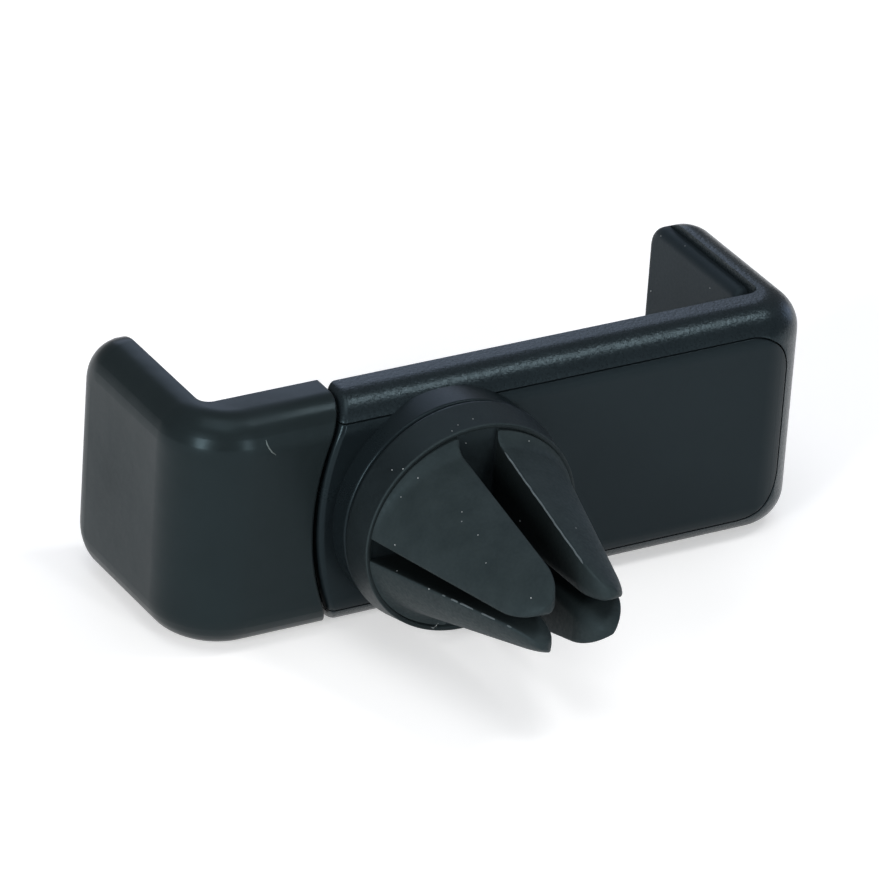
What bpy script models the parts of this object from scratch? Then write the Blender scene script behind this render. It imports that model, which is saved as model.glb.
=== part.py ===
"""Air vent phone holder: two sprung jaws on a strip, and a rubber clip that grips a vent blade.

Metres, +Z up. X runs along the strip towards the fixed jaw, +Y points at the phone, and the
clip points along -Y. The origin is on the clip's swivel axis, in the plane the phone lies on.
"""

import math

import bmesh
import bpy
from mathutils import Matrix, Vector

# Strip and jaws, outside sizes
STRIP_HEIGHT = 0.0235
STRIP_DEPTH = 0.0048
FIXED_REACH = 0.0402
SLIDING_REACH = 0.0260
JAW_REACH = 0.0173
JAW_THICKNESS = 0.0038
FRONT_PAD_RISE = 0.0009
SLIDE_PAD_RISE = 0.0002

# Rounding of the two shells
FIXED_CORNER_RADIUS = 0.0056
SLIDING_CORNER_RADIUS = 0.0068
INNER_CORNER_RADIUS = 0.0012
TIP_RADIUS = 0.0044
OUTER_EDGE_RADIUS = 0.0034
INNER_EDGE_RADIUS = 0.0003

# Curved joint between the body and the sliding jaw
SEAM_REACH = 0.0125
SEAM_RADIUS = 0.0260
SEAM_GAP = 0.0005

# Inside of the body
COVER_THICKNESS = 0.0012
COVER_MARGIN = 0.0020
COVER_CORNER_RADIUS = 0.0045
COVER_END_MARGIN = 0.0029
FRONT_WALL = 0.0012
CHANNEL_MOUTH_HALF = 0.0051
CHANNEL_HALF = 0.0061
CHANNEL_END_WALL = 0.0004
CHANNEL_STOP_ROOM = 0.0025
TRAVEL = 0.0250
CORING_WIDTH = 0.0013
CORING_DEPTH = 0.0018
CORING_FROM = -0.0012
CORING_SHORT = 0.0029
CORING_RIB = 0.0018

# Tongue of the sliding jaw, its stops and the hollow root that it grows from
TONGUE_ROOT = 0.0009
STOP_LENGTH = 0.0020
POCKET_BACK_WALL = 0.0013
POCKET_FRONT_WALL = 0.0017
POCKET_SIDE_WALL = 0.0026
POCKET_END_WALL = 0.0012
SPRING_SLOT_FROM = 0.0127

# Springs and the two pins that they hook on
SPRING_OFFSET = 0.0026
SPRING_DIAMETER = 0.0018
SPRING_WIRE = 0.00025
SPRING_TURNS = 16
SPRING_STEPS = 8
HOOK_LEAD = 0.0013
PIN_DIAMETER = 0.0007
PIN_FIT = 0.0002
SLIDE_PIN_X = 0.0143
FRAME_PIN_ROOM = 0.0011
PIN_END_COVER = 0.0005
FRAME_PIN_SEAT = 0.0009

# Screws that hold the cover, under the front pad
SCREW_LEFT_X = -0.0060
SCREW_RIGHT_MARGIN = 0.0078
SCREW_ROW = 0.0074
SCREW_SHANK = 0.0014
SCREW_HEAD = 0.0028
SCREW_HEAD_HEIGHT = 0.0006
SCREW_LENGTH = 0.0029
BOSS_DIAMETER = 0.0028
BOSS_HEIGHT = 0.0012
DRIVE_WIDTH = 0.0012
DRIVE_SLOT = 0.0004
DRIVE_DEPTH = 0.00035

# Pads
PAD_RECESS = 0.0004
SLIDE_PAD_RECESS = 0.0007
JAW_PAD_RECESS = 0.0006
FRONT_PAD_MARGIN = 0.0022
PAD_CORNER_RADIUS = 0.0020
PAD_EDGE = 0.0003
JAW_PAD_RISE = 0.0013
JAW_PAD_MARGIN = 0.0010
JAW_PAD_TIP_MARGIN = 0.0002
JAW_PAD_FOOT = 0.0012
JAW_PAD_CORNER = 0.0026
JAW_PAD_EDGE = 0.0011

# Ring seat and spigot that the clip turns on
SEAT_INSET = 0.0002
SEAT_BORE = 0.0063
SEAT_HEIGHT = 0.00225
SEAT_STEP = 0.00008
SPIGOT_RADIUS = 0.0026
CORE_BORE_DEPTH = 0.0013
CORE_HUB_RADIUS = 0.0060
CORE_FLANGE_RADIUS = 0.0076
CORE_FLANGE_THICKNESS = 0.0010
CORE_LUGS = 4
CORE_LUG_REACH = 0.0086
CORE_LUG_WIDTH = 0.0030
CORE_LUG_STEP = 0.0002
WASHER_RADIUS = 0.0042
FRICTION_WASHER_THICKNESS = 0.0003
PIVOT_WASHER_THICKNESS = 0.0004
PIVOT_SHANK = 0.0018
PIVOT_HEAD = 0.0036
PIVOT_HEAD_HEIGHT = 0.0007
PIVOT_SCREW_LENGTH = 0.0035

# Rubber clip: round base, lip and four prongs
CLIP_RADIUS = 0.0113
CLIP_EDGE = 0.0004
CLIP_LIP = 0.0008
CLIP_WEB = 0.0007
RIM_INSET = 0.0004
RIM_SQUASH = 0.959
RIM_WALL = 0.0004
RIM_STEP = 0.00035
PRONG_LENGTH = 0.0193
PRONG_ROOT_X = 0.0106
PRONG_ROOT_Z = 0.0087
PRONG_TIP_X = 0.0049
PRONG_TIP_Z = 0.0036
PRONG_LEAN = 0.0005
WIDE_SLOT_ROOT = 0.0040
WIDE_SLOT_TIP = 0.0030
NARROW_SLOT_ROOT = 0.0021
NARROW_SLOT_TIP = 0.0006
PRONG_EDGE = 0.00025
PRONG_TIP_RADIUS = 0.0025
PRONG_STEPS = 9
PRONG_TIP_STEPS = 6
PRONG_TIP_LAST = 0.95

# Fits
FIT = 0.0003
SLIDE_FIT = 0.0003
ROUND_STEPS = 48
SMALL_STEPS = 20
PIN_STEPS = 12
FILLET_STEPS = 5
CORNER_STEPS = 8
TIP_STEPS = 7
INNER_CORNER_STEPS = 4

# How far a cutter runs past what it cuts
OVERRUN = 0.002
SHORT_OVERRUN = 0.001

# Planes that the sizes above give
FRONT_Y = -FRONT_PAD_RISE
BACK_Y = FRONT_Y - STRIP_DEPTH
SLIDE_FRONT_Y = -SLIDE_PAD_RISE
HALF_HEIGHT = STRIP_HEIGHT / 2
SEAM_RISE = SEAM_RADIUS - math.sqrt(SEAM_RADIUS ** 2 - (HALF_HEIGHT + OVERRUN) ** 2)
SCREW_RIGHT_X = FIXED_REACH - SCREW_RIGHT_MARGIN
CHANNEL_END = SCREW_RIGHT_X - BOSS_DIAMETER / 2 - FIT - CHANNEL_END_WALL
TONGUE_END = CHANNEL_END - CHANNEL_STOP_ROOM
FRAME_PIN_X = CHANNEL_END - FRAME_PIN_ROOM
CORING_TO = CHANNEL_END - CORING_SHORT
COVER_INNER_Y = BACK_Y + COVER_THICKNESS
LEDGE_Y = COVER_INNER_Y + FIT
CHANNEL_FRONT_Y = FRONT_Y - FRONT_WALL
TONGUE_BACK_Y = COVER_INNER_Y + SLIDE_FIT
TONGUE_FRONT_Y = CHANNEL_FRONT_Y - SLIDE_FIT
TONGUE_MID_Y = (TONGUE_BACK_Y + TONGUE_FRONT_Y) / 2
TONGUE_HALF = CHANNEL_MOUTH_HALF - SLIDE_FIT
STOP_HALF = CHANNEL_HALF - SLIDE_FIT
STOP_SHOULDER_X = TONGUE_END - STOP_LENGTH - TRAVEL - SLIDE_FIT
BOSS_END_Y = COVER_INNER_Y + BOSS_HEIGHT
BOSS_BASE_Y = BACK_Y + COVER_THICKNESS / 2
SEAT_BASE_Y = COVER_INNER_Y - COVER_THICKNESS / 3
SEAT_RADIUS = CLIP_RADIUS - SEAT_INSET
RIM_RADIUS = CLIP_RADIUS - RIM_INSET
RECESS_FLOOR_Y = FRONT_Y - PAD_RECESS
SCREW_HEAD_Y = RECESS_FLOOR_Y
SEAT_Y = BACK_Y - SEAT_HEIGHT
HUB_BACK_Y = BACK_Y - FIT
CORE_FLOOR_Y = HUB_BACK_Y - CORE_BORE_DEPTH
FRICTION_WASHER_Y = CORE_FLOOR_Y - FIT
SPIGOT_END_Y = FRICTION_WASHER_Y - FRICTION_WASHER_THICKNESS
PIVOT_WASHER_Y = SPIGOT_END_Y - FIT
PIVOT_HEAD_Y = PIVOT_WASHER_Y - PIVOT_WASHER_THICKNESS - FIT
CLIP_BACK_Y = SEAT_Y - FIT
LIP_Y = CLIP_BACK_Y - CLIP_LIP
FLANGE_Y = LIP_Y - FIT
CORE_FRONT_Y = FLANGE_Y - CORE_FLANGE_THICKNESS
HEAD_ROOM_Y = CORE_FRONT_Y - FIT
HUB_FRONT_Y = HEAD_ROOM_Y - CLIP_WEB
RIM_Y = HUB_FRONT_Y - RIM_STEP
CLIP_TIP_Y = RIM_Y - PRONG_LENGTH

COLLECTION_NAME = "air_vent_phone_holder"
GUIDE_COLLECTION_NAME = "cutters"


def clear_scene():
    """Remove every object, so that the model starts from nothing."""
    for item in list(bpy.data.objects):
        bpy.data.objects.remove(item, do_unlink=True)


def make_collection(name):
    """Return a new collection linked to the scene."""
    collection = bpy.data.collections.new(name)
    bpy.context.scene.collection.children.link(collection)
    return collection


def make_material(name, colour, roughness, metallic=0.0):
    """Return a Principled material with the given linear colour."""
    material = bpy.data.materials.new(name)
    material.use_nodes = True
    shader = material.node_tree.nodes["Principled BSDF"]
    shader.inputs["Base Color"].default_value = (*colour, 1.0)
    shader.inputs["Roughness"].default_value = roughness
    shader.inputs["Metallic"].default_value = metallic
    return material


def add_object(name, bm, collection, material=None, origin=(0.0, 0.0, 0.0)):
    """Turn a bmesh into an object whose origin is at the given world point."""
    bmesh.ops.recalc_face_normals(bm, faces=bm.faces)
    origin = Vector(origin)
    bm.transform(Matrix.Translation(-origin))
    mesh = bpy.data.meshes.new(name)
    bm.to_mesh(mesh)
    bm.free()
    item = bpy.data.objects.new(name, mesh)
    item.location = origin
    collection.objects.link(item)
    if material is not None:
        mesh.materials.append(material)
        mesh.shade_smooth()
        mesh.set_sharp_from_angle(angle=math.radians(35.0))
    return item


def add_guide(name, bm, guides):
    """Add a cutter, or a shape to be joined, that is not part of the model by itself."""
    item = add_object(name, bm, guides)
    item.hide_render = True
    item.display_type = "WIRE"
    return item


def combine(target, operand, operation="DIFFERENCE"):
    """Cut an object with a guide, or join the guide to it."""
    modifier = target.modifiers.new(operand.name, "BOOLEAN")
    modifier.operation = operation
    modifier.solver = "EXACT"
    modifier.object = operand


def arc(centre_u, centre_v, radius, start, end, steps):
    """Points of an arc from one angle to another, in degrees."""
    points = []
    for step in range(steps + 1):
        angle = math.radians(start + (end - start) * step / steps)
        points.append((centre_u + radius * math.cos(angle), centre_v + radius * math.sin(angle)))
    return points


def prism(bm, outline, axis, start, end):
    """Extrude a flat outline along X, Y or Z between two planes."""
    def place(point, level):
        u, v = point
        return {"X": (level, u, v), "Y": (u, level, v), "Z": (u, v, level)}[axis]

    corners = [bm.verts.new(place(point, start)) for point in outline]
    face = bm.faces.new(corners)
    shift = Vector({"X": (1, 0, 0), "Y": (0, 1, 0), "Z": (0, 0, 1)}[axis]) * (end - start)
    lifted = bmesh.ops.extrude_face_region(bm, geom=[face], use_keep_orig=True)
    tops = [item for item in lifted["geom"] if isinstance(item, bmesh.types.BMVert)]
    bmesh.ops.translate(bm, verts=tops, vec=shift)


def box(bm, low, high):
    """Add a box between two corners."""
    low = Vector(low)
    high = Vector(high)
    size = high - low
    place = Matrix.Translation((low + high) / 2) @ Matrix.Diagonal((*size, 1.0))
    bmesh.ops.create_cube(bm, size=1.0, matrix=place)


def cylinder(bm, radius, start, end, centre=(0.0, 0.0), axis="Y", steps=SMALL_STEPS, end_radius=None):
    """Add a cylinder or a cone along Y, X or Z between two planes."""
    turn = {"Y": Matrix.Rotation(-math.pi / 2, 4, "X"), "X": Matrix.Rotation(math.pi / 2, 4, "Y"),
            "Z": Matrix.Identity(4)}[axis]
    middle = (start + end) / 2
    u, v = centre
    spot = {"Y": (u, middle, v), "X": (middle, u, v), "Z": (u, v, middle)}[axis]
    far_radius = radius if end_radius is None else end_radius
    bmesh.ops.create_cone(bm, cap_ends=True, segments=steps, radius1=radius, radius2=far_radius,
                          depth=end - start, matrix=Matrix.Translation(spot) @ turn)


def bevel(bm, edges, radius, segments=FILLET_STEPS):
    """Round a set of edges."""
    bmesh.ops.bevel(bm, geom=list(edges), offset=radius, offset_type="OFFSET", affect="EDGES",
                    segments=segments, profile=0.5, material=-1, clamp_overlap=True)


def seam_x(height, shift=0.0):
    """X of the curved joint at a height, shifted towards the sliding jaw."""
    return -SEAM_REACH - shift + SEAM_RADIUS - math.sqrt(SEAM_RADIUS ** 2 - height ** 2)


def seam_arc(half, shift=0.0, steps=12):
    """Points of the curved joint from the bottom to the top."""
    heights = [half * (2 * step / steps - 1) for step in range(steps + 1)]
    return [(seam_x(height, shift), height) for height in heights]


def edge_between(edge, is_side, is_end):
    """True where an edge parts a face of the chosen side from one that is not an end."""
    if len(edge.link_faces) != 2:
        return False
    first, second = edge.link_faces
    if is_side(first) == is_side(second):
        return False
    return not (is_end(first) or is_end(second))


def shell_blank(side, reach, end_x, front_y, corner_radius):
    """L-shaped block of a strip and its jaw, with every outside edge rounded.

    side is 1 for the fixed jaw at +X and -1 for the sliding jaw at -X.
    """
    bm = bmesh.new()
    outer = side * reach
    inner = side * (reach - JAW_THICKNESS)
    outline = [(end_x, BACK_Y), (outer, BACK_Y), (outer, JAW_REACH), (inner, JAW_REACH),
               (inner, front_y), (end_x, front_y)]
    prism(bm, outline, "Z", -HALF_HEIGHT, HALF_HEIGHT)
    bmesh.ops.recalc_face_normals(bm, faces=bm.faces)

    def at(edge, x, y):
        middle = (edge.verts[0].co + edge.verts[1].co) / 2
        return abs(middle.x - x) < 1e-6 and abs(middle.y - y) < 1e-6

    bevel(bm, [e for e in bm.edges if at(e, outer, BACK_Y)], corner_radius, CORNER_STEPS)
    bevel(bm, [e for e in bm.edges if at(e, inner, front_y)], INNER_CORNER_RADIUS, INNER_CORNER_STEPS)
    middle_x = (outer + inner) / 2
    bevel(bm, [e for e in bm.edges if at(e, middle_x, JAW_REACH)], TIP_RADIUS, TIP_STEPS)

    def is_outside(face):
        n = face.normal
        return abs(n.z) < 1e-3 and (side * n.x > 1e-3 or n.y < -1e-3)

    def is_end(face):
        return all(abs(vert.co.x - end_x) < 1e-6 for vert in face.verts)

    def is_inside(face):
        n = face.normal
        facing = side * n.x < -1e-3 or n.y > 1e-3
        return abs(n.z) < 1e-3 and facing and face.calc_center_median().y < JAW_REACH - 1e-5

    bevel(bm, [e for e in bm.edges if edge_between(e, is_outside, is_end)], OUTER_EDGE_RADIUS)
    bevel(bm, [e for e in bm.edges if edge_between(e, is_inside, is_end)], INNER_EDGE_RADIUS, 2)
    return bm


def cover_outline(grow=0.0, left_grow=0.0):
    """Outline of the cover, or of its rebate when it is grown by the fit."""
    half = HALF_HEIGHT - COVER_MARGIN - FIT + grow
    right = FIXED_REACH - COVER_END_MARGIN - FIT + grow
    radius = COVER_CORNER_RADIUS - FIT + grow
    points = arc(right - radius, half - radius, radius, 90.0, 0.0, FILLET_STEPS)
    points += arc(right - radius, -half + radius, radius, 0.0, -90.0, FILLET_STEPS)
    points += seam_arc(half, left_grow)
    return points


def jaw_pad_outline(grow=0.0):
    """Outline in Y and Z of a jaw's pad, with large corners at the tip."""
    half = HALF_HEIGHT - JAW_PAD_MARGIN + grow
    low = JAW_PAD_FOOT - grow
    high = JAW_REACH - JAW_PAD_TIP_MARGIN + grow
    tip = JAW_PAD_CORNER + grow
    foot = PAD_CORNER_RADIUS / 2 + grow
    points = arc(high - tip, half - tip, tip, 0.0, 90.0, FILLET_STEPS)
    points += arc(low + foot, half - foot, foot, 90.0, 180.0, 3)
    points += arc(low + foot, -half + foot, foot, 180.0, 270.0, 3)
    points += arc(high - tip, -half + tip, tip, 270.0, 360.0, FILLET_STEPS)
    return points


def screw_places():
    """X and Z of the four screws that hold the cover."""
    return [(x, z) for x in (SCREW_LEFT_X, SCREW_RIGHT_X) for z in (-SCREW_ROW, SCREW_ROW)]


def front_pad_outline(grow=0.0):
    """Outline in X and Z of the pad on the strip, parallel to the curved joint at one end."""
    half = HALF_HEIGHT - FRONT_PAD_MARGIN + grow
    right = FIXED_REACH - JAW_THICKNESS - FRONT_PAD_MARGIN + grow
    radius = PAD_CORNER_RADIUS + grow
    points = arc(right - radius, half - radius, radius, 90.0, 0.0, FILLET_STEPS)
    points += arc(right - radius, -half + radius, radius, 0.0, -90.0, FILLET_STEPS)
    points += seam_arc(half, grow - FRONT_PAD_MARGIN)
    return points


def slide_pad_outline(grow=0.0):
    """Outline in X and Z of the small pad on the sliding jaw's strip."""
    half = HALF_HEIGHT - FRONT_PAD_MARGIN + grow
    left = -SLIDING_REACH + JAW_THICKNESS + FRONT_PAD_MARGIN - grow
    radius = PAD_CORNER_RADIUS + grow
    points = arc(left + radius, -half + radius, radius, 270.0, 180.0, FILLET_STEPS)
    points += arc(left + radius, half - radius, radius, 180.0, 90.0, FILLET_STEPS)
    points += list(reversed(seam_arc(half, SEAM_GAP + FRONT_PAD_MARGIN - grow)))
    return points


def spring_room(bm, start, end):
    """Two through slots for the springs."""
    half = SPRING_DIAMETER / 2 + SLIDE_FIT
    for row in (-SPRING_OFFSET, SPRING_OFFSET):
        box(bm, (start, TONGUE_BACK_Y - FIT, row - half), (end, TONGUE_FRONT_Y + FIT, row + half))


def build_body_frame(model, guides, material):
    """Strip and fixed jaw in one moulding, open at the back and at the sliding jaw's end."""
    blank = shell_blank(1, FIXED_REACH, -SEAM_REACH - OVERRUN, FRONT_Y, FIXED_CORNER_RADIUS)
    frame = add_object("body_frame", blank, model, material)

    end = bmesh.new()
    beyond = -SEAM_REACH - 2 * OVERRUN
    over = HALF_HEIGHT + OVERRUN
    prism(end, seam_arc(over) + [(beyond, over), (beyond, -over)], "Y", BACK_Y - OVERRUN, FRONT_Y + OVERRUN)
    combine(frame, add_guide("cut_body_end", end, guides))

    rebate = bmesh.new()
    prism(rebate, cover_outline(FIT, OVERRUN), "Y", BACK_Y - OVERRUN, LEDGE_Y)
    combine(frame, add_guide("cut_cover_rebate", rebate, guides))

    mouth = bmesh.new()
    box(mouth, (-SEAM_REACH - OVERRUN, LEDGE_Y - SHORT_OVERRUN, -CHANNEL_MOUTH_HALF),
        (STOP_SHOULDER_X + SHORT_OVERRUN, CHANNEL_FRONT_Y, CHANNEL_MOUTH_HALF))
    combine(frame, add_guide("cut_channel_mouth", mouth, guides))

    channel = bmesh.new()
    box(channel, (STOP_SHOULDER_X, LEDGE_Y - SHORT_OVERRUN, -CHANNEL_HALF),
        (CHANNEL_END, CHANNEL_FRONT_Y, CHANNEL_HALF))
    combine(frame, add_guide("cut_channel", channel, guides))

    coring = bmesh.new()
    low = CHANNEL_HALF + (HALF_HEIGHT - COVER_MARGIN - CHANNEL_HALF - CORING_WIDTH) / 2
    middle = (CORING_FROM + CORING_TO) / 2
    rib = CORING_RIB / 2
    for side in (-1, 1):
        for start, stop in ((CORING_FROM, middle - rib), (middle + rib, CORING_TO)):
            z_range = sorted((side * low, side * (low + CORING_WIDTH)))
            box(coring, (start, LEDGE_Y - SHORT_OVERRUN, z_range[0]), (stop, LEDGE_Y + CORING_DEPTH, z_range[1]))
    combine(frame, add_guide("cut_coring", coring, guides))

    sockets = bmesh.new()
    for x, z in screw_places():
        cylinder(sockets, BOSS_DIAMETER / 2 + FIT, LEDGE_Y - SHORT_OVERRUN, BOSS_END_Y + FIT, (x, z))
    combine(frame, add_guide("cut_boss_sockets", sockets, guides))

    holes = bmesh.new()
    for x, z in screw_places():
        cylinder(holes, SCREW_SHANK / 2 + FIT, LEDGE_Y - SHORT_OVERRUN, FRONT_Y + SHORT_OVERRUN, (x, z))
    combine(frame, add_guide("cut_screw_holes", holes, guides))

    heads = bmesh.new()
    for x, z in screw_places():
        cylinder(heads, SCREW_HEAD / 2 + FIT, SCREW_HEAD_Y - SCREW_HEAD_HEIGHT - FIT,
                 FRONT_Y + SHORT_OVERRUN, (x, z))
    combine(frame, add_guide("cut_screw_heads", heads, guides))

    recess = bmesh.new()
    prism(recess, front_pad_outline(FIT), "Y", RECESS_FLOOR_Y, FRONT_Y + OVERRUN)
    combine(frame, add_guide("cut_front_recess", recess, guides))

    jaw_recess = bmesh.new()
    inner = FIXED_REACH - JAW_THICKNESS
    prism(jaw_recess, jaw_pad_outline(FIT), "X", inner - OVERRUN, inner + JAW_PAD_RECESS)
    combine(frame, add_guide("cut_fixed_jaw_recess", jaw_recess, guides))

    groove = bmesh.new()
    radius = PIN_DIAMETER / 2 + FIT
    reach = CHANNEL_HALF + FRAME_PIN_SEAT
    box(groove, (FRAME_PIN_X - radius, LEDGE_Y - SHORT_OVERRUN, -reach),
        (FRAME_PIN_X + radius, TONGUE_MID_Y + radius, reach))
    combine(frame, add_guide("cut_frame_pin_groove", groove, guides))
    return frame


def frame_edge_outline(side):
    """Outline in Y and Z of the frame's rounded back edge and a fit around it."""
    low = HALF_HEIGHT - COVER_MARGIN - FIT + SEAT_STEP
    centre = (BACK_Y + OUTER_EDGE_RADIUS, HALF_HEIGHT - OUTER_EDGE_RADIUS)
    radius = OUTER_EDGE_RADIUS + FIT
    start = 180.0 - math.degrees(math.asin((low - centre[1]) / radius))
    points = arc(*centre, radius, start, 90.0, 8)
    points.append((centre[0], low))
    return [(y, side * z) for y, z in points]


def build_back_cover(model, guides, material):
    """Inset cover, flush with the rounded body, with the clip's ring seat, spigot and bosses."""
    plate = bmesh.new()
    prism(plate, cover_outline(), "Y", BACK_Y - SHORT_OVERRUN, COVER_INNER_Y)
    cover = add_object("back_cover", plate, model, material)
    envelope = shell_blank(1, FIXED_REACH, -SEAM_REACH - 2 * OVERRUN, FRONT_Y, FIXED_CORNER_RADIUS)
    combine(cover, add_guide("limit_cover_back", envelope, guides), "INTERSECT")

    profile = [(SEAT_BORE, SEAT_Y), (SEAT_RADIUS - CLIP_EDGE, SEAT_Y), (SEAT_RADIUS, SEAT_Y + CLIP_EDGE),
               (SEAT_RADIUS, SEAT_BASE_Y), (SEAT_BORE, SEAT_BASE_Y)]
    seat = add_guide("join_seat", turned(profile), guides)
    for side in (-1, 1):
        bar = bmesh.new()
        prism(bar, frame_edge_outline(side), "X", -SEAT_RADIUS - SHORT_OVERRUN, SEAT_RADIUS + SHORT_OVERRUN)
        combine(seat, add_guide("cut_seat_edge_{}".format(side + 2), bar, guides))
    combine(cover, seat, "UNION")

    spigot = bmesh.new()
    cylinder(spigot, SPIGOT_RADIUS, SPIGOT_END_Y, SEAT_BASE_Y, steps=32)
    combine(cover, add_guide("join_spigot", spigot, guides), "UNION")

    bosses = bmesh.new()
    for x, z in screw_places():
        cylinder(bosses, BOSS_DIAMETER / 2, BOSS_BASE_Y, BOSS_END_Y, (x, z))
    combine(cover, add_guide("join_bosses", bosses, guides), "UNION")

    pilots = bmesh.new()
    screw_end = SCREW_HEAD_Y - SCREW_HEAD_HEIGHT - SCREW_LENGTH
    for x, z in screw_places():
        cylinder(pilots, SCREW_SHANK / 2 + FIT / 2, screw_end - FIT, CHANNEL_FRONT_Y, (x, z))
    cylinder(pilots, PIVOT_SHANK / 2 + FIT, SPIGOT_END_Y - SHORT_OVERRUN, PIVOT_HEAD_Y + PIVOT_SCREW_LENGTH + FIT)
    combine(cover, add_guide("cut_pilot_holes", pilots, guides))
    return cover


def build_pad(name, outline, axis, back, front, edge, model, material):
    """Soft pad with its exposed edge rounded; back and front are planes across the axis."""
    bm = bmesh.new()
    prism(bm, outline, axis, back, front)
    index = "XYZ".index(axis)
    rim = [e for e in bm.edges if all(abs(v.co[index] - front) < 1e-7 for v in e.verts)]
    bevel(bm, rim, edge, 3)
    return add_object(name, bm, model, material)


def tongue_outline():
    """Outline in X and Z of the tongue with its two stops."""
    start = -SLIDING_REACH + JAW_THICKNESS - TONGUE_ROOT
    stop = TONGUE_END - STOP_LENGTH
    half = TONGUE_HALF
    upper = [(start, half), (stop, half), (stop, STOP_HALF), (TONGUE_END - STOP_LENGTH / 3, STOP_HALF),
             (TONGUE_END, half)]
    return upper + [(x, -z) for x, z in reversed(upper)]


def build_sliding_jaw(model, guides, material):
    """Sliding jaw, its hollow root and the tongue that runs in the body's channel."""
    blank = shell_blank(-1, SLIDING_REACH, -SEAM_REACH + SEAM_RISE, SLIDE_FRONT_Y, SLIDING_CORNER_RADIUS)
    jaw = add_object("sliding_jaw", blank, model, material)

    end = bmesh.new()
    beyond = -SEAM_REACH + SEAM_RISE + OVERRUN
    over = HALF_HEIGHT + OVERRUN
    prism(end, seam_arc(over, SEAM_GAP) + [(beyond, over), (beyond, -over)], "Y",
          BACK_Y - OVERRUN, SLIDE_FRONT_Y + OVERRUN)
    combine(jaw, add_guide("cut_jaw_end", end, guides))

    pocket = bmesh.new()
    side = HALF_HEIGHT - POCKET_SIDE_WALL
    box(pocket, (-SLIDING_REACH + JAW_THICKNESS + POCKET_END_WALL, BACK_Y + POCKET_BACK_WALL, -side),
        (beyond, SLIDE_FRONT_Y - POCKET_FRONT_WALL, side))
    combine(jaw, add_guide("cut_jaw_pocket", pocket, guides))

    tongue = bmesh.new()
    prism(tongue, tongue_outline(), "Y", TONGUE_BACK_Y, TONGUE_FRONT_Y)
    combine(jaw, add_guide("join_tongue", tongue, guides), "UNION")

    slots = bmesh.new()
    spring_room(slots, SPRING_SLOT_FROM, TONGUE_END + SHORT_OVERRUN)
    combine(jaw, add_guide("cut_spring_slots", slots, guides))

    bore = bmesh.new()
    cylinder(bore, PIN_DIAMETER / 2 + PIN_FIT, -TONGUE_HALF + PIN_END_COVER, TONGUE_HALF + SHORT_OVERRUN,
             (SLIDE_PIN_X, TONGUE_MID_Y), "Z", steps=PIN_STEPS)
    combine(jaw, add_guide("cut_slide_pin_bore", bore, guides))

    recess = bmesh.new()
    prism(recess, slide_pad_outline(FIT), "Y", SLIDE_FRONT_Y - SLIDE_PAD_RECESS, SLIDE_FRONT_Y + OVERRUN)
    combine(jaw, add_guide("cut_slide_recess", recess, guides))

    jaw_recess = bmesh.new()
    inner = -SLIDING_REACH + JAW_THICKNESS
    prism(jaw_recess, jaw_pad_outline(FIT), "X", inner - JAW_PAD_RECESS, inner + OVERRUN)
    combine(jaw, add_guide("cut_sliding_jaw_recess", jaw_recess, guides))
    return jaw


def spring_points(row):
    """Centre line of a spring's wire: hook, coil along X, hook."""
    coil_radius = (SPRING_DIAMETER - SPRING_WIRE) / 2
    hook_radius = PIN_DIAMETER / 2 + FIT + SPRING_WIRE / 2
    start = SLIDE_PIN_X + HOOK_LEAD
    length = FRAME_PIN_X - HOOK_LEAD - start
    count = SPRING_TURNS * SPRING_STEPS
    points = [(SLIDE_PIN_X + x, TONGUE_MID_Y + y, row) for x, y in arc(0, 0, hook_radius, 60.0, 300.0, 7)]
    for step in range(count + 1):
        angle = math.pi + 2 * math.pi * step / SPRING_STEPS
        points.append((start + length * step / count, TONGUE_MID_Y + coil_radius * math.cos(angle),
                       row + coil_radius * math.sin(angle)))
    points += [(FRAME_PIN_X + x, TONGUE_MID_Y + y, row) for x, y in arc(0, 0, hook_radius, 240.0, 480.0, 7)]
    return points


def build_spring(name, row, model, material):
    """Extension spring that pulls the sliding jaw in."""
    points = spring_points(row)
    curve = bpy.data.curves.new(name, "CURVE")
    curve.dimensions = "3D"
    curve.bevel_depth = SPRING_WIRE / 2
    curve.bevel_resolution = 1
    curve.use_fill_caps = True
    line = curve.splines.new("POLY")
    line.points.add(len(points) - 1)
    for place, point in zip(line.points, points):
        place.co = (*point, 1.0)
    curve.materials.append(material)
    spring = bpy.data.objects.new(name, curve)
    model.objects.link(spring)
    return spring


def build_pin(name, x, low, high, model, material):
    """Steel pin along Z that the springs hook on."""
    bm = bmesh.new()
    cylinder(bm, PIN_DIAMETER / 2, low, high, (x, TONGUE_MID_Y), "Z", steps=PIN_STEPS)
    return add_object(name, bm, model, material)


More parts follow.
